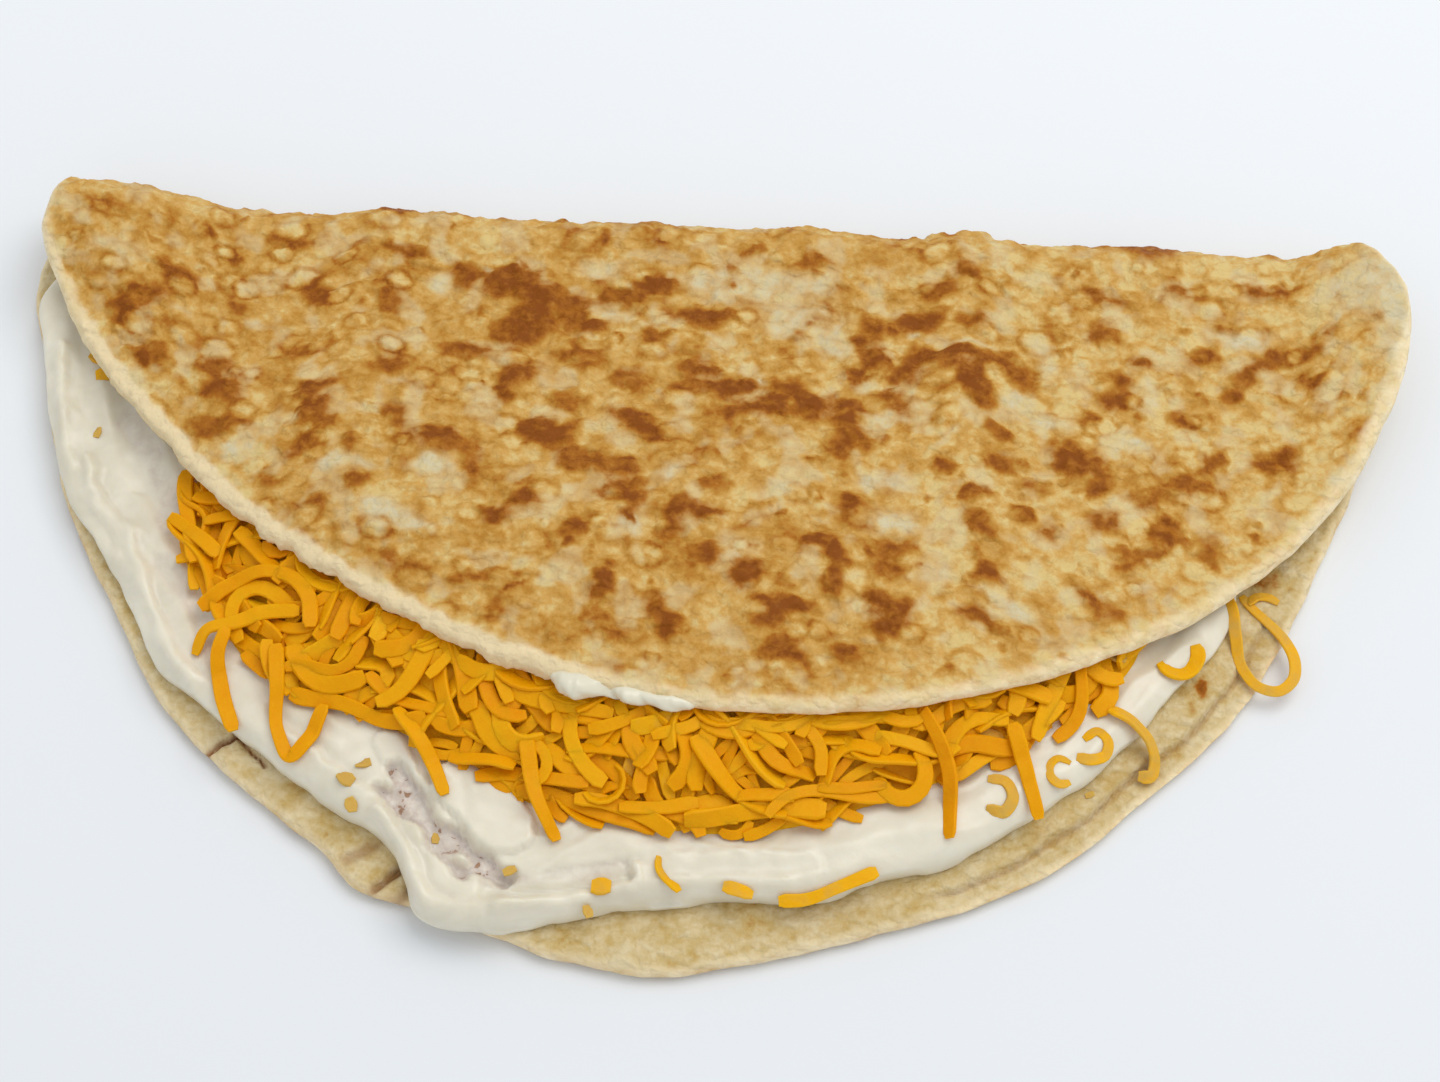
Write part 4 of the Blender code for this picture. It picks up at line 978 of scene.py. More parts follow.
class BreadLook(bpy.types.PropertyGroup):
    puff: length_of("Puff", "How far small bubbles stand out of the crust", 0.45)
    wrinkles: length_of("Wrinkles", "Height of the crust's small wrinkles", 0.4)
    toasted_lift: length_of("Toasted lift", "How far toasted marks stand proud", 0.4)
    layers: length_of("Torn layers", "How far the dough's layers stand out at the torn rim", 0.45)
    raggedness: length_of("Raggedness", "How far the rim wanders", 0.4)
    dough: colour_of("Dough", "Barely baked dough", 219, 190, 124)
    golden: colour_of("Golden", "Lightly baked dough", 208, 162, 86)
    amber: colour_of("Amber", "Well baked dough", 189, 136, 54)
    brown: colour_of("Brown", "Toasted marks", 170, 104, 24)
    # The darkest brown is also the painted shade in the lower rim's cracks and crease.
    char: colour_of("Char", "The darkest middle of a toasted mark", 136, 72, 8)
    flour: colour_of("Flour", "Floury pale places", 212, 198, 160)
    raw: colour_of("Raw rim", "The side of the rim", 249, 230, 190)
    crumb: colour_of("Crumb", "The pale crumb where the rim is torn", 233, 211, 168)
    inside: colour_of("Inside", "The dough's inner face", 221, 202, 160)
    inside_dull: colour_of("Inside, dull", "Its duller patches", 198, 168, 104)


class CreamLook(bpy.types.PropertyGroup):
    streak: length_of("Streaks", "Height of the knife's streaks", 0.22)
    torn: length_of("Torn ridges", "Height of the sharp ridges torn up by the knife", 0.35)
    cream: colour_of("Cream", "Cream cheese", 236, 229, 210)
    cream_shade: colour_of("Cream shade", "Its duller patches", 216, 207, 184)
    # These two lilac greys are also the painted shade of hollows at the left.
    scraped_and_hollow_shade: colour_of("Scraped", "Where it is scraped thin", 222, 212, 198)
    scraped_and_hollow_shade_dark: colour_of("Scraped dark", "The duller patches there", 194, 176, 164)
    speck: colour_of("Speck", "Brown specks there", 160, 122, 92)


class CheddarLook(bpy.types.PropertyGroup):
    tries: IntProperty(name="Tries", description="How many shreds are tried for a place", default=7000, min=0)
    width_low: length_of("Narrowest", "Narrowest shred", 1.6)
    width_high: length_of("Widest", "Widest shred", 2.9)
    length_low: length_of("Shortest", "Shortest shred", 8)
    length_high: length_of("Longest", "Longest shred", 24)
    flatness: FloatProperty(name="Flatness", description="Thickness over width", default=0.3)
    seed: IntProperty(name="Seed", description="Which heap is strewn", default=5)
    deep: colour_of("Deep", "The deepest shreds", 226, 144, 0)
    cheddar: colour_of("Cheddar", "Most shreds", 232, 159, 0)
    light: colour_of("Light", "The palest shreds of the heap", 238, 174, 14)
    faded: colour_of("Faded", "Shreds and bits that lie in the cream", 208, 166, 80)


class StageLook(bpy.types.PropertyGroup):
    floor: colour_of("Floor", "The pale sweep", 238, 240, 242)
    # The darker front of the floor is painted shade.
    floor_front_shade: colour_of("Floor, front", "The pale sweep in front", 228, 230, 233)
    azimuth: angle_of("Azimuth", "The camera's bearing", 3)
    elevation: angle_of("Elevation", "How steeply the camera looks down", 62)
    distance: FloatProperty(name="Distance", description="From camera to food", default=0.4285, unit="LENGTH")
    lens: FloatProperty(name="Lens", description="Focal length in mm on a 36 mm frame", default=75, min=1)
    key: FloatProperty(name="Key light", description="Power of the soft key in watts", default=7.2, min=0)
    fill: FloatProperty(name="Fill", description="Strength of the light all round", default=0.75, min=0)


# ----- Bread -----

RIM_STATIONS = 1500
RIM_RINGS = 7
CRUST_SPACING = 0.53 * MM
UNDERSIDE_SPACING = 2.4 * MM
FACE_SPACING = 0.66 * MM
FINE_SPACING, FINE_BAND = 0.42 * MM, 5.5 * MM
HIDDEN_SPACING = 3.4 * MM
RAGGED_SIZES = (5.5 * MM, 4 * MM)
BUBBLES, BUBBLE_RADII, BUBBLE_HEIGHTS = 650, (0.9 * MM, 2.8 * MM), (0.2, 1.0)
BUBBLES_TO_X, BUBBLES_TO_Q = 100, 145
RING_WIDTH = 0.22
CUT_FROM, CUT_TO = (-98 * MM, -84 * MM), (-22 * MM, -6 * MM)
PALE_BAND = (0.9 * MM, 2.4 * MM)
# How much wider in mm than a toasted mark the glow round it is, and how strong.
HALO_WIDTH, HALO_STRENGTH = 0.9, 0.6
# Amounts and sizes of the outer face's swellings, and how far a bubble's ring is sunk.
CRUST_SWELLS = ((0.35 * MM, 17 * MM), (0.2 * MM, 6 * MM))
RING_SUNK = 0.3
# How far the edges of the marks are pushed about, along x and along q, by broad and fine noise.
PUSH_SIZES, PUSHES = (7 * MM, 1.5 * MM), ((1.3 * MM, 0.5 * MM), (1.1 * MM, 0.45 * MM))
# How toasted the plain crust is, and what its unevenness adds or takes off.
PLAIN_TOAST = 0.2
PATCH_TOAST, BROAD_TOAST, SMALL_TOAST, WRINKLE_TOAST, RING_TOAST = 0.15, 0.09, 0.09, 0.14, 0.34
BUBBLE_PALER, RIGHT_PALER, RIGHT_FROM, RIGHT_TO = 0.18, 0.12, 5 * MM, 60 * MM
SPECK_TOAST, PALE_TOAST = 0.6, 0.6
FACE_TOAST, FACE_PATCHES, FACE_GRAIN, FACE_MARKS = 0.2, 0.14, 0.06, 0.8
# How far inside its rim the upper flap has its full toast and relief, and the shares left at the rim.
RIM_FADE, RIM_TOAST, RIM_RELIEF = 5 * MM, 0.25, 0.3
FOLD_RELIEF = 0.3
UNDERSIDE_DIPS, FACE_SWELL, FACE_DROP = 0.2 * MM, 0.22 * MM, 0.12 * MM
# How dark the painted shade along the ledge's crease is.
CREASE_PAINTED_SHADE = 0.35
CRUMB_LIFT, TORN_LIFT = 0.08 * MM, 0.2 * MM
RIM_WANDER = 0.6 * MM
TORN_FADE = (1.6 * MM, 2.4 * MM)


def ragged_outline(raggedness):
    """The dough's rim with its wandering, most uneven where the upper flap's rim is torn."""
    outline = flat_dough_outline(RIM_STATIONS)
    x, q = outline.T
    broad, fine = (crumpled(x, q, size, 40 + k, layers=1 + 3 * k) for k, size in enumerate(RAGGED_SIZES))
    torn = torn_share(x, q)
    return drawn_in(outline, FLAT_CENTRE, raggedness * (0.7 * broad + (0.2 + 1.2 * torn) * fine - 0.4 * torn))


def torn_share(x, q):
    """1 where the upper flap's rim is torn, left of its middle, and 0 elsewhere."""
    on_upper = q > FOLD_Y + 2 * FOLD_ARC
    return on_upper * smoothstep(*CUT_FROM, x) * (1 - smoothstep(*CUT_TO, x))


def crust_values(flat):
    """How toasted and how floury the outside of the dough is."""
    x, q = flat.T
    push_x, push_q = (
        broad * crumpled(x, q, PUSH_SIZES[0], seed) + fine * swell(x, q, PUSH_SIZES[1], seed + 4)
        for seed, (broad, fine) in zip((60, 70), PUSHES)
    )
    at = (x + push_x, q + push_q)
    far = sheet_place(0.0, 0.0) / MM + 30
    small = strewn_marks(
        seed=3, count=420, low=(-100, FOLD_Y / MM), high=(100, far), sizes=(0.4, 1.1), strengths=(0.2, 0.8),
    )
    marks = to_sheet(TOASTED_MARKS) + strewn_marks(
        seed=4, count=150, low=(-96, -50), high=(96, (FOLD_Y + 0.7 * FOLD_ARC) / MM), sizes=(1.2, 3),
        strengths=(0.3, 0.9),
    )
    toast = marked(*at, marks, core=0.35, edge=1.05)
    halos = [
        (mark_x, mark_q, length + HALO_WIDTH, width + HALO_WIDTH, lean, HALO_STRENGTH * strength**1.5)
        for mark_x, mark_q, length, width, lean, strength in marks
    ]
    glow = marked(*at, halos, core=0.55, edge=1.15)
    pale = marked(*at, to_sheet(PALE_MARKS), core=0.3, edge=1.5)
    pale = pale * (0.75 + 0.5 * swell(x, q, 2.5 * MM, 76))
    pale += 0.4 * smoothstep(0.1, 0.5, crumpled(x, q, 5 * MM, 77))
    pale = np.clip(pale * (1 - toast), 0, 1)
    grain = puckers(x, q)
    patchy = smoothstep(-0.1, 0.25, crumpled(x, q, 6 * MM, 85))
    base = PLAIN_TOAST + PATCH_TOAST * patchy + BROAD_TOAST * crumpled(x, q, 12 * MM, 80)
    base += SMALL_TOAST * swell(x, q, 5 * MM, 83) + WRINKLE_TOAST * grain
    height, ring = bubbles(x + 0.3 * push_x, q + 0.3 * push_q)
    base += RING_TOAST * ring - BUBBLE_PALER * height - RIGHT_PALER * smoothstep(RIGHT_FROM, RIGHT_TO, x)
    specks = SPECK_TOAST * marked(*at, small, core=0.5, edge=1.15)
    base = np.clip(base + glow + specks, 0, 1) * (1 - PALE_TOAST * pale)
    return np.clip(base + (1 - base) * toast * (0.72 + 0.25 * grain), 0, 1), pale


def puckers(x, q):
    """The crust's small wrinkles, which run along the fold, and its pebbling, about -1 to 1."""
    ridged = 1 - 2.4 * np.abs(swell(x, q, 2.5 * MM, 90, stretch=1.9))
    return 0.55 * ridged + 0.65 * crumpled(x, q, 2.0 * MM, 94, layers=2) - 0.15


def bubbles(x, q):
    """Small round bubbles of the crust: how high each stands, 0 to 1, and the darker ring round it."""
    rng = random.Random(8)
    places = [
        (
            rng.uniform(-BUBBLES_TO_X, BUBBLES_TO_X) * MM, rng.uniform(FOLD_Y / MM, BUBBLES_TO_Q) * MM,
            rng.uniform(*BUBBLE_RADII), rng.uniform(*BUBBLE_HEIGHTS),
        )
        for _ in range(BUBBLES)
    ]
    places += [
        (plan_x * MM, sheet_place(plan_x * MM, plan_y * MM), radius * MM, share)
        for plan_x, plan_y, radius, share in RINGED_BUBBLES
    ]
    height, ring = np.zeros_like(x), np.zeros_like(x)
    for centre_x, centre_q, radius, share in places:
        reach = 1.4 * radius
        near = np.nonzero((np.abs(x - centre_x) < reach) & (np.abs(q - centre_q) < reach))[0]
        away = np.hypot(x[near] - centre_x, 1.3 * (q[near] - centre_q)) / radius
        height[near] = np.maximum(height[near], share * np.clip(1 - away**2, 0, None) ** 1.5)
        ring[near] = np.maximum(ring[near], share * np.exp(-(((away - 1) / RING_WIDTH) ** 2)))
    return height, ring


def crust_relief(flat, plan, toast, look):
    """How far the outside of the upper flap stands out: blisters, bubbles, wrinkles and toasted marks."""
    x, q = flat.T
    height, ring = bubbles(x, q)
    relief = rolling(x, q, CRUST_SWELLS, 92) + look.puff * (height - RING_SUNK * ring)
    relief += look.wrinkles * puckers(x, q)
    for crest_x, past_fold, radius, rise in CREST_FLAKES:
        away = np.hypot(x / MM - crest_x, (q - fold_axis(x)) / MM - past_fold) / radius
        relief += rise * MM * smoothstep(0, 0.5, 1 - away + 0.25 * swell(x, q, 1.2 * MM, 95))
    return relief + look.toasted_lift * toast + blister_lift(plan)


def face_values(flat):
    """How toasted the dough's inner face is."""
    x, q = flat.T
    warp = 0.8 * MM * crumpled(x, q, 4 * MM, 100)
    base = FACE_TOAST + FACE_PATCHES * crumpled(x, q, 7 * MM, 104) + FACE_GRAIN * swell(x, q, 1.5 * MM, 107)
    return np.clip(base + FACE_MARKS * marked(x + warp, q + warp, LOWER_MARKS, core=0.3, edge=1.4), 0, 1)


def cracked(x, y):
    """How deep the cracks of the lower rim are at plan points, and how dark the painted shade in them is."""
    depth, dark = np.zeros_like(x), np.zeros_like(x)
    for start, end, width, deep in CRACKS:
        share = near_line(x + 0.3 * MM * swell(x, y, 1.6 * MM, 31), y, (start, end), width)
        depth = np.maximum(depth, deep * MM * share)
        dark = np.maximum(dark, share * min(1, 0.4 / width))
    return depth, dark


def outer_lattice(edge):
    """Points of the dough's outside: dense on the crust that shows and wide beneath the lower flap."""
    def crust(points):
        return points[:, 1] > fold_axis(points[:, 0]) - 2 * MM

    return np.vstack([
        lattice(edge, FLAT_CENTRE, CRUST_SPACING, 0.4 * MM, crust),
        lattice(edge, FLAT_CENTRE, UNDERSIDE_SPACING, 1.2 * MM, lambda p: ~crust(p)),
    ])


def inner_lattice(edge):
    """Points of the dough's inside: dense where it shows beside the cream, most so along the rim."""
    def shown(points):
        beside_cream = in_cream(*points.T) < 2 * MM
        return beside_cream & (points[:, 1] < FOLD_Y - 5 * MM)

    def by_rim(points):
        return inside_rim(LOWER_CENTRE, LOWER_RIM, *points.T)[0] < FINE_BAND

    return np.vstack([
        lattice(edge, FLAT_CENTRE, FINE_SPACING, 0.3 * MM, lambda p: shown(p) & by_rim(p)),
        lattice(edge, FLAT_CENTRE, FACE_SPACING, 0.4 * MM, lambda p: shown(p) & ~by_rim(p)),
        lattice(edge, FLAT_CENTRE, HIDDEN_SPACING, 1.5 * MM, lambda p: ~shown(p)),
    ])


def rim_ring(outline, turn, layers):
    """The ring of the rounded rim at this turn, from -90 degrees outside to 90 inside."""
    along = run_along(outline)
    uneven = swell(along, RIM_ROUND * turn, 0.9 * MM, 118, stretch=7)
    uneven = uneven + 0.4 * swell(along, RIM_ROUND * turn, MM, 119)
    torn = torn_share(*outline.T)
    inset = RIM_ROUND * (1 - math.cos(turn)) + layers * torn * math.cos(turn) * uneven
    return drawn_in(outline, FLAT_CENTRE, inset)


def bread_sheet(look):
    """The flat dough's points (x, q), the side each is on, -1 outside to 1 inside, and its faces."""
    outline = ragged_outline(look.raggedness)
    face_edge = drawn_in(outline, FLAT_CENTRE, RIM_ROUND)
    outer_flat, outer_faces = triangulated([face_edge], outer_lattice(face_edge))
    inner_flat, inner_faces = triangulated([face_edge], inner_lattice(face_edge))
    outer_count, inner_count = len(outer_flat), len(inner_flat)
    turns = np.linspace(-math.pi / 2, math.pi / 2, RIM_RINGS + 2)[1:-1]
    flat = np.vstack([outer_flat, inner_flat, *(rim_ring(outline, turn, look.layers) for turn in turns)])
    side = np.concatenate([
        np.full(outer_count, -1.0), np.full(inner_count, 1.0), np.repeat(np.sin(turns), RIM_STATIONS),
    ])

    faces = [tuple(reversed(f)) for f in outer_faces]
    faces += [tuple(outer_count + i for i in f) for f in inner_faces]
    ring_start = outer_count + inner_count
    ring_starts = [0, *(ring_start + k * RIM_STATIONS for k in range(RIM_RINGS)), outer_count]
    for first, second in zip(ring_starts, ring_starts[1:]):
        faces += ring_faces(first, second, RIM_STATIONS)
    return flat, side, faces


def face_relief(x, q, on_lower):
    """How far the lower flap's inner face stands out, and how dark the painted shade in its cracks and crease
    is.
    """
    depth, dark = cracked(x, q)
    drop, crease = ledge(x, q)
    relief = FACE_SWELL * crumpled(x, q, 8 * MM, 112) - FACE_DROP - depth - drop - CREASE_DEPTH * crease
    return np.where(on_lower, relief, 0), np.maximum(dark, CREASE_PAINTED_SHADE * crease) * on_lower


def bake_bread(look):
    """The folded sheet with its crust, how toasted, floury and raw it is, and the painted shade in its cracks
    and crease.
    """
    flat, side, faces = bread_sheet(look)
    x, q = flat.T
    outwards, inwards = np.clip(-side, 0, 1), np.clip(side, 0, 1)
    middle, inward = sheet_middle(x, q), sheet_inward(x, q)
    on_upper = q > fold_axis(x) + 0.4 * FOLD_ARC
    on_lower = q < fold_axis(x)

    toast, pale = crust_values(flat)
    from_rim = in_upper(middle[:, 0], middle[:, 1])
    past_rim = np.where(on_upper, smoothstep(0, RIM_FADE, from_rim), 1.0)
    crust_toast = toast * (RIM_TOAST + (1 - RIM_TOAST) * past_rim)
    relief = crust_relief(flat, middle, toast, look)
    beneath = -UNDERSIDE_DIPS * np.abs(swell(x, q, 6 * MM, 110))
    relief = np.where(
        on_upper, relief * (RIM_RELIEF + (1 - RIM_RELIEF) * past_rim),
        np.where(on_lower, beneath, FOLD_RELIEF * relief),
    )
    inner_relief, dark = face_relief(x, q, on_lower)
    rounding = np.sqrt(np.clip(1 - side**2, 0, 1))
    torn = torn_share(x, q)
    from_rim = from_rim + RIM_WANDER * swell(x, q, 2 * MM, 116)
    crumb = CRUMB_LIFT * swell(x, q + 2 * middle[:, 2], 1.4 * MM, 114) * rounding
    crumb += TORN_LIFT * torn * crumpled(x, q + 3 * side * MM, 5 * MM, 117) * rounding

    half = BREAD_THICKNESS / 2
    lift = side * half - outwards * relief + inwards * inner_relief
    points = middle + inward * lift[:, None]
    points[:, 2] = np.maximum(points[:, 2] + crumb, 0.0)

    inner_toast = face_values(flat)
    banded = 1 - smoothstep(*PALE_BAND, from_rim - RIM_WANDER * torn)
    pale_band = on_upper * (side < 0) * (0.55 + 0.3 * torn) * banded
    values = {
        "toast": np.where(side > 0, inner_toast, crust_toast),
        "pale": np.where(side < 0, pale, 0),
        "torn": torn * (1 - smoothstep(*TORN_FADE, from_rim)),
        "inside": smoothstep(0.2, 0.9, side),
        "rim": np.maximum(rounding * np.where(on_lower, 0.8, 0.95), pale_band),
        # Painted shade in the cracks and the crease.
        "crack_and_crease_shade": dark * (side > -0.5),
    }
    return points, faces, values


class BakeBread(bpy.types.Operator):
    """Bake the folded flatbread"""
    bl_idname = "chapati.bread"
    bl_label = "Bake bread"

    def execute(self, context):
        look = context.scene.chapati_bread
        points, faces, values = bake_bread(look)
        piece = mesh_piece("folded_bread", points, faces, baked_bread(look), values)
        dress(piece, "bread")
        return {"FINISHED"}


# ----- Cream cheese -----

CREAM_SPACING = 0.55 * MM
CREAM_HIDDEN_SPACING = 3.2 * MM
# Insets in mm, and of the walls also how far up each lies.
CREAM_RING_INSETS = (0.12, 0.3, 0.6, 1.1, 1.7, 2.4)
CREAM_WALLS = ((0.9, 0.0), (0.35, 0.12), (0.08, 0.4), (0.0, 0.75))
CREAM_SOLE = BREAD_THICKNESS - 0.25 * MM
# Amount and size of the spread's swellings, and of how far its ridges wander.
CREAM_SWELLS, CREAM_ASTRAY = ((0.35 * MM, 11 * MM), (0.05 * MM, 2 * MM)), (2.5 * MM, 9 * MM)
# From where to where, inwards from its edge, the spread takes on its unevenness.
CREAM_SETTLED = (0.2 * MM, 2.5 * MM)
STREAK_SIZE = 2.6 * MM
TORN_SIZE, TORN_SHARPNESS, TORN_PATCHES = 4.5 * MM, 3.5, 14 * MM
SHOWN_UNDER_HEAP = 5 * MM


def cream_surface(x, y, look):
    """Height of the spread with its streaks, ridges and knife-thinned places, and how thinned it is, or in a
    hollow how strong the painted shade is.
    """
    top = cream_top(x, y)
    depth = in_cream(x, y)
    around = np.arctan2(y - CREAM_CENTRE[1], x - CREAM_CENTRE[0]) * 60 * MM
    streaks = look.streak * swell(around, depth, STREAK_SIZE, 121, stretch=5)
    settled = smoothstep(*CREAM_SETTLED, depth)
    astray = rolling(x, y, (CREAM_ASTRAY,), 126)
    ridges = swell(around + astray, depth + astray, TORN_SIZE, 127, stretch=4)
    torn_up = np.clip(1 - TORN_SHARPNESS * np.abs(ridges), 0, 1)
    torn_up = torn_up * smoothstep(-0.3, 0.3, swell(x, y, TORN_PATCHES, 128))
    raised = (streaks + rolling(x, y, CREAM_SWELLS, 122) + look.torn * torn_up) * settled
    for points, rise, width in CREAM_RIDGES:
        wobble = 0.5 * MM * swell(x, y, 3 * MM, 129)
        raised += rise * MM * near_line(x + wobble, y + wobble, points, width) * (0.3 + 0.7 * settled)
    for points, width, rise in CREAM_SLABS:
        band = near_line(x + astray / 3, y, points, width) + 0.08 * crumpled(x, y, 2.5 * MM, 120)
        raised += rise * MM * smoothstep(0.42, 0.52, band)
    scraped_and_hollow_shade = np.zeros_like(x)
    # An entry that takes nothing off only greys a hollow: painted shade.
    for points, width, share, bare in SCRAPED_AND_HOLLOW_SHADE:
        band = near_line(x + astray / 2, y, points, width)
        streaked = crumpled(*turned(x, y, points), 2.6 * MM, 124, layers=2)
        taken = smoothstep(0.35, 0.7, band * (0.8 + 0.7 * streaked * bare))
        raised -= share * taken * (top - CREAM_FLOOR)
        scraped_and_hollow_shade = np.maximum(scraped_and_hollow_shade, bare * taken)
    raised += scraped_and_hollow_shade * 0.16 * MM * crumpled(x, y, 2.4 * MM, 125, layers=2)
    height = top + raised * (1 - smoothstep(0, 2.5 * MM, in_heap(x, y)))
    return np.minimum(height, np.where(in_upper(x, y) > 0, roof(x, y) - GAP, height)), scraped_and_hollow_shade


def turned(x, y, points):
    """Plan places read along and across the line from the first of these points to the last."""
    way = np.array(points[-1], float) - points[0]
    way /= np.linalg.norm(way)
    return (x * way[0] + y * way[1]) / 2.4, y * way[0] - x * way[1]


def mound(name, loop, centre, sole, walls, insets, top_lattice, top_height, material, values_of):
    """A closed solid on a flat sole: rounded walls (inset, height) under a modelled top."""
    foot = drawn_in(loop, centre, walls[0][0] * MM)
    foot_plan, foot_faces = triangulated([foot], lattice(foot, centre, 8 * MM, 4 * MM))
    rings = [drawn_in(loop, centre, inset * MM) for inset in insets]
    top_plan, top_faces = triangulated(rings, top_lattice(rings[-1]))
    wall_loops = [drawn_in(loop, centre, inset * MM) for inset, _ in walls[1:]]
    count = len(loop)
    edge = top_height(*loop.T)
    points = [np.column_stack([foot_plan, np.full(len(foot_plan), sole)])]
    for ring, (_, share) in zip(wall_loops, walls[1:]):
        points.append(np.column_stack([ring, sole + share * (edge - sole)]))
    points.append(np.column_stack([top_plan, top_height(*top_plan.T)]))
    starts = [0, len(foot_plan)]
    for _ in wall_loops:
        starts.append(starts[-1] + count)
    faces = [tuple(reversed(f)) for f in foot_faces]
    for first, second in zip(starts[:-1], starts[1:]):
        faces += ring_faces(first, second, count)
    faces += [tuple(starts[-1] + i for i in f) for f in top_faces]
    points = np.vstack(points)
    return mesh_piece(name, points, faces, material, values_of(points))


def cream_lattice(ring):
    """Dense points where the spread shows and wide ones under the heap and the flap."""
    def shown(points):
        x, y = points.T
        return (in_heap(x, y) < SHOWN_UNDER_HEAP) & (in_upper(x, y) < 8 * MM)

    return np.vstack([
        lattice(ring, CREAM_CENTRE, CREAM_SPACING, 0.4 * MM, shown),
        lattice(ring, CREAM_CENTRE, CREAM_HIDDEN_SPACING, 0.8 * MM, lambda p: ~shown(p)),
    ])


def wandering(loop, centre, size, amount, seed):
    """The loop with a seeded wander of its edge."""
    x, y = loop.T
    return drawn_in(loop, centre, amount * (swell(x, y, size, seed) + 0.25 * swell(x, y, size / 3, seed + 1)))


class SpreadCream(bpy.types.Operator):
    """Spread the cream cheese"""
    bl_idname = "chapati.cream"
    bl_label = "Spread cream cheese"

    def execute(self, context):
        look = context.scene.chapati_cream
        loop = wandering(CREAM_LOOP, CREAM_CENTRE, 8 * MM, 0.55 * MM, 130)
        piece = mound(
            "cream_spread", loop, CREAM_CENTRE, CREAM_SOLE, CREAM_WALLS, CREAM_RING_INSETS, cream_lattice,
            lambda x, y: cream_surface(x, y, look)[0], spread_cream(look),
            lambda points: {"scraped_and_hollow_shade": cream_surface(points[:, 0], points[:, 1], look)[1]},
        )
        dress(piece, "cream_cheese")
        return {"FINISHED"}


def smear_rings():
    """Rings of points round the smear, one after another along the upper flap's rim."""
    bearings = np.linspace(*SMEAR_BEARINGS, SMEAR_STATIONS)
    edge = rim_points(UPPER_CENTRE, UPPER_RIM, bearings)
    turn = np.radians(bearings)
    outward = np.stack([np.cos(turn), np.sin(turn)], axis=1)
    lumps = np.interp(bearings, np.linspace(*SMEAR_BEARINGS, len(SMEAR_LUMPS)), SMEAR_LUMPS)
    along = np.linspace(0, 1, SMEAR_STATIONS)
    ends = np.sqrt(np.clip(along * along[::-1] * SMEAR_BLUNTNESS, 0, 1))
    angle = np.linspace(0, 2 * math.pi, SMEAR_SIDES, endpoint=False)
    rings = []
    for place, away, lump, end in zip(edge, outward, lumps, ends):
        size = lump * (SMEAR_END_SIZE + (1 - SMEAR_END_SIZE) * end)
        out = SMEAR_WIDTH * size / 2 * (1 + np.cos(angle)) - SMEAR_OVERLAP
        height = roof(*place) + SMEAR_RAISE + SMEAR_HEIGHT * lump / 2 * (1 + end * np.sin(angle))
        ring = np.column_stack([place[0] + away[0] * out, place[1] + away[1] * out, height])
        rough = crumpled(ring[:, 0] + ring[:, 2], ring[:, 2] - ring[:, 1], 4 * MM, 141, layers=4)
        rings.append(ring + SMEAR_ROUGHNESS * rough[:, None] * (*away, 0.7))
    return rings


class SmearCream(bpy.types.Operator):
    """Press a little cream out along the upper flap's rim"""
    bl_idname = "chapati.smear"
    bl_label = "Smear the rim"

    def execute(self, context):
        points = np.vstack(smear_rings())
        starts = range(0, SMEAR_SIDES * SMEAR_STATIONS, SMEAR_SIDES)
        faces = [tuple(reversed(range(SMEAR_SIDES))), tuple(starts[-1] + k for k in range(SMEAR_SIDES))]
        for first, second in zip(starts, starts[1:]):
            faces += ring_faces(first, second, SMEAR_SIDES)
        unscraped = {"scraped_and_hollow_shade": np.zeros(len(points))}
        piece = mesh_piece("smeared_cream", points, faces, bpy.data.materials["cream_cheese"], unscraped)
        dress(piece, "cream_smear")
        return {"FINISHED"}


# ----- Grated cheddar -----

BED_CELL = 0.5 * MM
BED_LOW, BED_HIGH = (-100 * MM, -58 * MM), (96 * MM, 52 * MM)
# How far the core lies below the heap, the share by which it is less under the flap, and its least height.
CORE_SUNK, CORE_RAISED, CORE_OVER_CREAM = 1.1 * MM, 0.6, 0.1 * MM
CORE_LUMPS, CORE_LATTICE = 0.45 * MM, (1.1 * MM, 0.6 * MM)
CORE_WALLS, CORE_RING_INSETS = ((1.5, 0.0), (0.4, 0.6)), (0.2, 1.0)
# The core's colour is a light cheddar: painted light that brightens the shaded gaps between the shreds.
CORE_PAINTED_LIGHT = 0.75
SHRED_STEP, LAID_STEP = 1.1 * MM, 0.35 * MM
SHRED_TURN_RADIUS = 6 * MM
SHARP_FROM = math.radians(40)
# How far a shred raises the bed for the next one, as a share of its thickness: cheese gives way.
SHRED_STACKING = 0.4
HEAP_PROUD = 0.7 * MM
HEAP_TOLERANCE = 1.2 * MM
HEAP_MEAN_TOLERANCE = 0.25 * MM
# Spacing of the places that get a shred, and how far they stay inside the heap's edge.
STREWN_PLACES, TUCKED_PLACES = (0.8 * MM, 1 * MM), (0.7 * MM, 0.2 * MM)
PLACES_WEIGHED = 12
BARE_LACKS = 3 * MM
TRIED_IN_VAIN = 0.4 * MM
PRESSED_AT_MOST = 0.6 * MM
UNDER_FLAP = 2.5 * MM
OVER_EDGE = 1.8 * MM
HIDDEN_REACH = 8 * MM
# How far in the heap's edge is felt, how many shreds follow it there and how many others point outwards
# from a point behind the heap's centre, with how far each sort strays in radians.
EDGE_FELT, ALONG_EDGE, ALONG_EDGE_STRAY = 9 * MM, 0.75, 0.3
OUT_FROM, OUTWARDS, OUTWARDS_STRAY = 30 * MM, 0.45, 0.6
USUAL_OVER_SHORTEST = 5 * MM
# The share of curled shreds, and the bends of curled, plain and wavy ones in radians.
CURLED, CURL_BENDS, PLAIN_BEND, WAVE_BEND = 0.22, (2.2, 3.8), 0.7, 0.35
LEAST_POINTS = 6
SMOOTHING = (0.1, 0.2, 0.4, 0.2, 0.1)
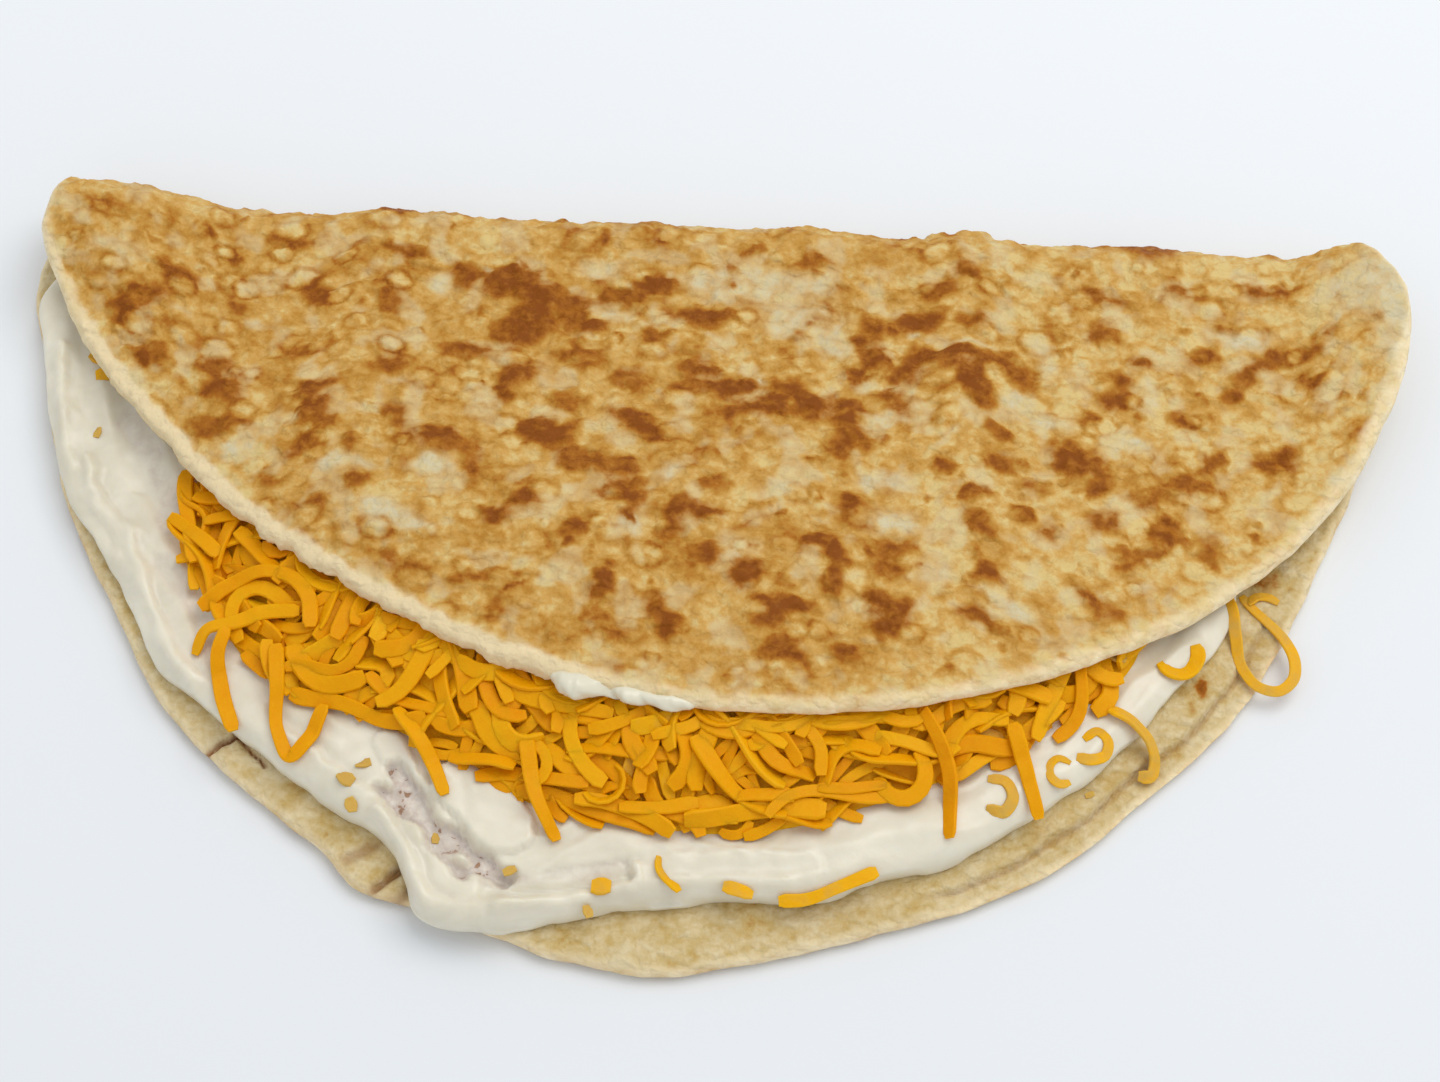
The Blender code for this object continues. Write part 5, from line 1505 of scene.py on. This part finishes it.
# How narrow a shred's ends are and over what length, and how its width waves along it.
END_WIDTH, END_TAPER, WIDTH_WAVE, WAVE_LENGTH = 0.7, 0.9 * MM, 0.1, 3.1 * MM
SHRED_ROLL, SHRED_TWIST = 0.35, 0.5
# How far before the upper flap's rim a strewn and a laid shred already stay below it.
STREWN_BELOW, LAID_BELOW = 0.5 * MM, 0.3 * MM
HANGING_WIDTH = 2.0 * MM
LOOSE_SUNK, LOOSE_SHADES = 0.3 * MM, (0.8, 1.0)
# How far a pressed bit reaches from its middle in widths, and the share of its thickness that is sunk.
BIT_REACH, BIT_SUNK, BIT_SHADE = 0.6, 0.6, 1.3
TUCKED_POINTS = 7
TUCKED_LENGTHS = (4.5 * MM, 9 * MM)
TUCKED_WIDTHS = (0.85, 1.15)
TUCKED_PROUD = 0.5 * MM
TUCKED_TURNS, TUCKED_BEND = 8, 0.8
TUCKED_OVER_EDGE = 0.8 * MM


class Bed:
    """The heights that shreds come to rest on, and where none lies yet, over a grid of the plan."""

    def __init__(self, surface):
        lines = [np.arange(low, high, BED_CELL) for low, high in zip(BED_LOW, BED_HIGH)]
        x, y = np.meshgrid(*lines, indexing="ij")
        self.heights = surface(x.ravel(), y.ravel()).reshape(x.shape)
        self.bare = np.ones_like(self.heights)

    def cell(self, plan):
        """The grid's cells under plan points."""
        cells = np.round((plan - BED_LOW) / BED_CELL).astype(int)
        return tuple(np.clip(cells, 0, np.array(self.heights.shape) - 1).T)

    def rest(self, plan, width):
        """Heights at which the underside of a stiffish shred rests along its path."""
        side = sideways(plan)
        under = np.max([self.heights[self.cell(plan + side * width * k)] for k in (-0.35, 0, 0.35)], axis=0)
        run = run_along(plan)
        apart = run[:, None] - run[None, :]
        return (under[None, :] - apart**2 / (2 * SHRED_TURN_RADIUS)).max(axis=1)

    def pile(self, plan, width, tops):
        """Raise the bed under a shred that now lies there."""
        run = run_along(plan)
        stations = np.arange(0, run[-1], BED_CELL / 2)
        dense = np.stack([np.interp(stations, run, plan[:, k]) for k in (0, 1)], axis=1)
        heights = np.interp(stations, run, tops)
        side = sideways(dense)
        for offset in np.arange(-0.5, 0.51, 0.125):
            under = self.cell(dense + side * width * offset)
            np.maximum.at(self.heights, under, heights)
            self.bare[under] = 0


def sideways(plan):
    """Unit vectors across a plan path."""
    ahead = np.gradient(plan, axis=0)
    side = np.stack([-ahead[:, 1], ahead[:, 0]], axis=1)
    return side / np.linalg.norm(side, axis=1, keepdims=True)


def core_height(x, y):
    """The heap's own core, which the shreds lie on."""
    sunk = CORE_SUNK * (1 - CORE_RAISED * smoothstep(0, UNDER_FLAP, in_upper(x, y)))
    return np.maximum(heap_top(x, y) - sunk, cream_top(x, y) + CORE_OVER_CREAM)


def food_surface(x, y, cream_look):
    """What lies under the shreds: bread, cream and the heap's core."""
    on_cream = in_cream(x, y) > 0
    on_core = in_heap(x, y) > 0
    height = np.where(on_cream, cream_surface(x, y, cream_look)[0], BREAD_THICKNESS)
    return np.where(on_core, np.maximum(core_height(x, y), height), height)


def lowest_place(rng, bed, places, wanted):
    """Of a few random places on the shown part of the heap, the one that lacks the most cheese."""
    picked = np.array(rng.sample(range(len(places)), PLACES_WEIGHED))
    cells = bed.cell(places[picked])
    chosen = picked[np.argmax(wanted[picked] - bed.heights[cells] + BARE_LACKS * bed.bare[cells])]
    wanted[chosen] -= TRIED_IN_VAIN
    return places[chosen]


def path_over(place, headings, length):
    """A path of this length along the headings, with its middle over the place."""
    steps = length / len(headings) * np.stack([np.cos(headings), np.sin(headings)], axis=1)
    path = np.cumsum(steps, axis=0)
    return path + (place - path.mean(axis=0))


def shred_plan(rng, look, place):
    """A random shred over this place, or None where it would leave the heap or run far under the flap."""
    depth = in_heap(*place[:, None])[0]
    at_edge = math.exp(-((depth / EDGE_FELT) ** 2))
    out = math.atan2(place[1] - HEAP_CENTRE[1] - OUT_FROM, place[0] - HEAP_CENTRE[0])
    if rng.random() < ALONG_EDGE * at_edge:
        heading = out + math.pi / 2 + rng.gauss(0, ALONG_EDGE_STRAY)
    elif rng.random() < OUTWARDS:
        heading = out + rng.gauss(0, OUTWARDS_STRAY)
    else:
        heading = rng.uniform(-math.pi, math.pi)
    length = rng.triangular(look.length_low, look.length_high, look.length_low + USUAL_OVER_SHORTEST)
    curl = rng.random() < CURLED
    bend = rng.choice((-1, 1)) * rng.uniform(*CURL_BENDS) if curl else rng.gauss(0, PLAIN_BEND)
    count = max(LEAST_POINTS, round(length / SHRED_STEP))
    along = np.linspace(-0.5, 0.5, count)
    wave = rng.gauss(0, WAVE_BEND) * np.sin(2 * math.pi * (along + rng.random()))
    headings = heading + bend * along + wave
    path = path_over(place, headings, length)
    if in_heap(*path.T).min() < -OVER_EDGE:
        return None
    return path if in_upper(*path.T).max() < UNDER_FLAP + HIDDEN_REACH else None


def smoothed(values):
    """Values evened with their neighbours."""
    padded = np.pad(values, len(SMOOTHING) // 2, mode="edge")
    return np.convolve(padded, SMOOTHING, mode="valid")


def shred_points(plan, under, width, thickness, rng, shade=None):
    """A shred's points with its half width, roll and shade at each: it tapers at its ends."""
    run = run_along(plan)
    to_end = np.minimum(run, run[-1] - run)
    half = 0.5 * width * (END_WIDTH + (1 - END_WIDTH) * smoothstep(0, END_TAPER, to_end))
    half *= 1 + WIDTH_WAVE * np.sin(run / WAVE_LENGTH + rng.uniform(0, 6))
    roll = rng.gauss(0, SHRED_ROLL) + rng.gauss(0, SHRED_TWIST) * (run / run[-1] - 0.5)
    own_shade = shade or rng.betavariate(2, 2.6) * (1.25 if rng.random() < 0.12 else 0.8)
    shades = np.full(len(plan), own_shade)
    return np.column_stack([plan, under + thickness / 2, half, roll, shades])


def roof_over(plan, before):
    """The greatest height of a shred's top along its path: under the flap and a little before its rim."""
    return np.where(in_upper(*plan.T) > -before, roof(*plan.T) - GAP / 2, np.inf)


def strewn_shreds(look, bed):
    """The shreds of the heap: each comes to rest on those before it, up to the heap's own form."""
    rng = random.Random(look.seed)
    places = lattice(HEAP_LOOP, HEAP_CENTRE, *STREWN_PLACES, lambda p: in_upper(*p.T) < UNDER_FLAP)
    wanted = heap_top(*places.T)
    shreds = []
    for _ in range(look.tries):
        plan = shred_plan(rng, look, lowest_place(rng, bed, places, wanted))
        width = rng.triangular(look.width_low, look.width_high)
        thickness = width * look.flatness
        if plan is None:
            continue
        under = smoothed(bed.rest(plan, width))
        top = under + thickness
        low_roof = roof_over(plan, STREWN_BELOW)
        pressed = np.maximum(top - low_roof, 0)
        target = np.minimum(heap_top(*plan.T) + HEAP_PROUD, low_roof)
        proud = top - target
        too_proud = proud.mean() > HEAP_MEAN_TOLERANCE or proud.max() > HEAP_TOLERANCE
        if pressed.max() > PRESSED_AT_MOST or too_proud:
            continue
        under = smoothed(under - pressed)
        shreds.append(shred_points(plan, under, width, thickness, rng))
        bed.pile(plan, width, under + SHRED_STACKING * thickness)
    return shreds + tucked_shreds(rng, look, bed)


def tucked_shreds(rng, look, bed):
    """Short shreds where the core still shows, tucked in among those that lie there."""
    places = lattice(HEAP_LOOP, HEAP_CENTRE, *TUCKED_PLACES, lambda p: in_upper(*p.T) < UNDER_FLAP)
    along = np.linspace(-0.5, 0.5, TUCKED_POINTS)
    shreds = []
    for place in rng.sample(list(places), len(places)):
        if not bed.bare[bed.cell(place[None])][0]:
            continue
        for _ in range(TUCKED_TURNS):
            headings = rng.uniform(-math.pi, math.pi) + rng.gauss(0, TUCKED_BEND) * along
            plan = path_over(place, headings, rng.uniform(*TUCKED_LENGTHS))
            if in_heap(*plan.T).min() > -TUCKED_OVER_EDGE:
                break
        else:
            continue
        width = look.width_low * rng.uniform(*TUCKED_WIDTHS)
        thickness = width * look.flatness
        under = np.minimum(smoothed(bed.rest(plan, width / 2)), core_height(*plan.T) + TUCKED_PROUD)
        under = np.minimum(under, roof_over(plan, STREWN_BELOW) - thickness)
        shreds.append(shred_points(plan, under, width, thickness, rng))
        bed.pile(plan, width, under + SHRED_STACKING * thickness)
    return shreds


def laid_shred(bed, points, width, sunk, rng, look, shade=None):
    """A shred on a path of its own, at rest on what lies there."""
    plan = open_curve(points, LAID_STEP)
    thickness = width * look.flatness
    under = smoothed(bed.rest(plan, width)) - sunk
    under = np.minimum(under, roof_over(plan, LAID_BELOW) - thickness)
    bed.pile(plan, width, under + thickness)
    return shred_points(plan, under, width, thickness, rng, shade)


def shred_lines(name, shreds):
    """A mesh of one line for each shred, with its half width, roll and shade on the points."""
    mesh = bpy.data.meshes.new(name)
    points = np.vstack(shreds)
    edges, start = [], 0
    for shred in shreds:
        edges += [(start + k, start + k + 1) for k in range(len(shred) - 1)]
        start += len(shred)
    mesh.from_pydata([tuple(p) for p in points[:, :3] - (*PLAN_MIDDLE, 0.0)], edges, [])
    keep_values(mesh, dict(zip(("half_width", "roll", "shade"), points[:, 3:].T)))
    return placed(name, mesh)


def sweeping_tree():
    """Geometry nodes that sweep a rounded, flat section along each line of a mesh."""
    tree = bpy.data.node_groups.get("Sweep shreds")
    if tree:
        return tree
    tree = bpy.data.node_groups.new("Sweep shreds", "GeometryNodeTree")
    interface = tree.interface
    interface.new_socket("Lines", in_out="INPUT", socket_type="NodeSocketGeometry")
    interface.new_socket("Flatness", in_out="INPUT", socket_type="NodeSocketFloat").default_value = 0.3
    interface.new_socket("Corner", in_out="INPUT", socket_type="NodeSocketFloat").default_value = 0.16
    interface.new_socket("Finish", in_out="INPUT", socket_type="NodeSocketMaterial")
    interface.new_socket("Shreds", in_out="OUTPUT", socket_type="NodeSocketGeometry")
    given = tree.nodes.new("NodeGroupInput").outputs

    def named(label):
        value = node(tree, "GeometryNodeInputNamedAttribute", {"Name": label}, data_type="FLOAT")
        return value.outputs["Attribute"]

    curve = node(tree, "GeometryNodeMeshToCurve", {"Mesh": given["Lines"]}).outputs["Curve"]
    curve = node(tree, "GeometryNodeSetCurveNormal", {"Curve": curve}, mode="Z_UP").outputs[0]
    curve = node(tree, "GeometryNodeSetCurveTilt", {"Curve": curve, "Tilt": named("roll")}).outputs[0]
    sides = {"Width": 2.0, "Height": reckon(tree, "MULTIPLY", given["Flatness"], 2.0)}
    section = node(tree, "GeometryNodeCurvePrimitiveQuadrilateral", sides).outputs[0]
    corners = {"Curve": section, "Radius": given["Corner"], "Count": 1}
    section = node(tree, "GeometryNodeFilletCurve", corners, mode="POLY").outputs[0]
    swept = node(tree, "GeometryNodeCurveToMesh", {
        "Curve": curve, "Profile Curve": section, "Scale": named("half_width"), "Fill Caps": True,
    })
    smooth = node(tree, "GeometryNodeSetShadeSmooth", {"Geometry": swept.outputs[0], "Shade Smooth": True})
    real = node(tree, "GeometryNodeRealizeInstances", {"Geometry": smooth.outputs[0]})
    done = node(tree, "GeometryNodeSetMaterial", {"Geometry": real.outputs[0], "Material": given["Finish"]})
    node(tree, "NodeGroupOutput", {"Shreds": done.outputs[0]})
    return tree


def grown(piece, tree, **inputs):
    """The piece as its geometry nodes make it, as a plain mesh."""
    modifier = piece.modifiers.new("grow", "NODES")
    modifier.node_group = tree
    for socket in tree.interface.items_tree:
        if socket.in_out == "INPUT" and socket.name in inputs:
            modifier[socket.identifier] = inputs[socket.name]
    graph = bpy.context.evaluated_depsgraph_get()
    mesh = bpy.data.meshes.new_from_object(piece.evaluated_get(graph))
    piece.modifiers.remove(modifier)
    lines = piece.data
    piece.data = mesh
    bpy.data.meshes.remove(lines)
    face_outwards(mesh)
    mesh.set_sharp_from_angle(angle=SHARP_FROM)
    return piece


def swept_shreds(name, shreds, look, cheddar):
    return grown(shred_lines(name, shreds), sweeping_tree(), Flatness=look.flatness, Finish=cheddar)


def loose_cheddar(bed, rng, look):
    """The shreds that lie alone on the cream, and the bits pressed into it."""
    shreds = [
        laid_shred(bed, points, width * MM, LOOSE_SUNK, rng, look, rng.uniform(*LOOSE_SHADES))
        for width, points in LOOSE_SHREDS
    ]
    for x, y, width in PRESSED_BITS:
        turn = rng.uniform(0, math.pi)
        half = BIT_REACH * width * np.array((math.cos(turn), math.sin(turn)))
        ends = [(x - half[0], y - half[1]), (x, y), (x + half[0], y + half[1])]
        sunk = BIT_SUNK * width * MM * look.flatness
        shreds.append(laid_shred(bed, ends, width * MM, sunk, rng, look, BIT_SHADE))
    return shreds


def heap_core(cheddar):
    """The lump under the shreds, which closes the heap, in a light cheddar that paints light into the gaps
    between them.
    """
    def core_lattice(ring):
        return lattice(ring, HEAP_CENTRE, *CORE_LATTICE)

    def core_top(x, y):
        return core_height(x, y) + CORE_LUMPS * crumpled(x, y, 3 * MM, 151)

    return mound(
        "cheddar_core", HEAP_LOOP, HEAP_CENTRE, CREAM_FLOOR, CORE_WALLS, CORE_RING_INSETS, core_lattice,
        core_top, cheddar, lambda points: {"shade": np.full(len(points), CORE_PAINTED_LIGHT)},
    )


class StrewCheddar(bpy.types.Operator):
    """Heap the grated cheddar on the cream"""
    bl_idname = "chapati.cheddar"
    bl_label = "Strew cheddar"

    def execute(self, context):
        look, cream_look = context.scene.chapati_cheddar, context.scene.chapati_cream
        cheddar = grated_cheddar(look)
        dress(heap_core(cheddar), "cheddar_heap")

        bed = Bed(lambda x, y: food_surface(x, y, cream_look))
        heaped = strewn_shreds(look, bed)
        rng = random.Random(look.seed + 1)
        heaped += [laid_shred(bed, points, HANGING_WIDTH, 0, rng, look) for points in HANGING_SHREDS]
        dress(swept_shreds("cheddar_shreds", heaped, look, cheddar), "cheddar_heap")
        loose = loose_cheddar(bed, rng, look)
        dress(swept_shreds("loose_shreds", loose, look, cheddar), "cream_cheese")
        return {"FINISHED"}


# ----- Stage -----

FLOOR_SIZE = 4.0
FLOOR_DROP = 0.05 * MM
CAMERA_TARGET = (2.7 * MM, 7.6 * MM, 0.0)
CAMERA_SENSOR = 36
CAMERA_CLIP = 0.01
ROOM_COLOUR = (0.92, 0.96, 1.0, 1.0)
KEY_SIZE, KEY_PLACE, KEY_COLOUR = 0.9, (0.45, 0.35, 1.15), (1.0, 0.985, 0.96)


def soft_light(name, power, size, place, target, colour):
    """A square soft light that faces the target."""
    light = bpy.data.lights.new(name, "AREA")
    light.energy, light.size, light.color = power, size, colour
    made = placed(name, light)
    made.location = place
    made.rotation_euler = (Vector(target) - Vector(place)).to_track_quat("-Z", "Y").to_euler()


def aim_camera(look):
    """A camera that looks at the food from its bearing, elevation and distance."""
    camera = bpy.data.cameras.new("camera")
    camera.lens = look.lens
    camera.sensor_width, camera.clip_start = CAMERA_SENSOR, CAMERA_CLIP
    made = placed("camera", camera)
    level = math.cos(look.elevation)
    back = (math.sin(look.azimuth) * level, -math.cos(look.azimuth) * level, math.sin(look.elevation))
    made.location = Vector(CAMERA_TARGET) + look.distance * Vector(back)
    made.rotation_euler = Euler((math.pi / 2 - look.elevation, 0, look.azimuth))
    bpy.context.scene.camera = made


class SetStage(bpy.types.Operator):
    """Set the pale floor, the soft light and the camera"""
    bl_idname = "chapati.stage"
    bl_label = "Set stage"

    def execute(self, context):
        look, scene = context.scene.chapati_stage, context.scene
        mesh = bpy.data.meshes.new("floor")
        half = FLOOR_SIZE / 2
        corners = [(x * half, y * half, -FLOOR_DROP) for x, y in ((-1, -1), (1, -1), (1, 1), (-1, 1))]
        mesh.from_pydata(corners, [], [(0, 1, 2, 3)])
        mesh.materials.append(studio_floor(look))
        floor = placed("floor", mesh)

        world = bpy.data.worlds.new("soft_room")
        world.use_nodes = True
        around = world.node_tree.nodes["Background"]
        around.inputs["Color"].default_value = ROOM_COLOUR
        around.inputs["Strength"].default_value = look.fill
        scene.world = world
        soft_light("key", look.key, KEY_SIZE, KEY_PLACE, (0, 0, 0), KEY_COLOUR)
        aim_camera(look)
        scene.view_settings.view_transform = "Standard"
        return {"FINISHED"}


# ----- Panel and registering -----

LOOKS = {
    "chapati_bread": BreadLook, "chapati_cream": CreamLook, "chapati_cheddar": CheddarLook,
    "chapati_stage": StageLook,
}
STEPS = (BakeBread, SpreadCream, SmearCream, StrewCheddar, SetStage)


class ChapatiPanel(bpy.types.Panel):
    """Every step of making the chapati, with its settings"""
    bl_idname = "VIEW3D_PT_chapati"
    bl_label = "Cheese chapati"
    bl_space_type = "VIEW_3D"
    bl_region_type = "UI"
    bl_category = "Chapati"

    def draw(self, context):
        for step in STEPS:
            self.layout.operator(step.bl_idname)
        for label, group in LOOKS.items():
            box = self.layout.box()
            for setting in group.__annotations__:
                box.prop(getattr(context.scene, label), setting)


def register():
    for one in (*LOOKS.values(), *STEPS, ChapatiPanel):
        bpy.utils.register_class(one)
    for label, group in LOOKS.items():
        setattr(bpy.types.Scene, label, PointerProperty(type=group))


def unregister():
    for label in LOOKS:
        delattr(bpy.types.Scene, label)
    for one in (ChapatiPanel, *reversed(STEPS), *reversed(LOOKS.values())):
        bpy.utils.unregister_class(one)


def main():
    register()
    for step in STEPS:
        group, _, name = step.bl_idname.partition(".")
        getattr(getattr(bpy.ops, group), name)()


if __name__ == "__main__":
    main()
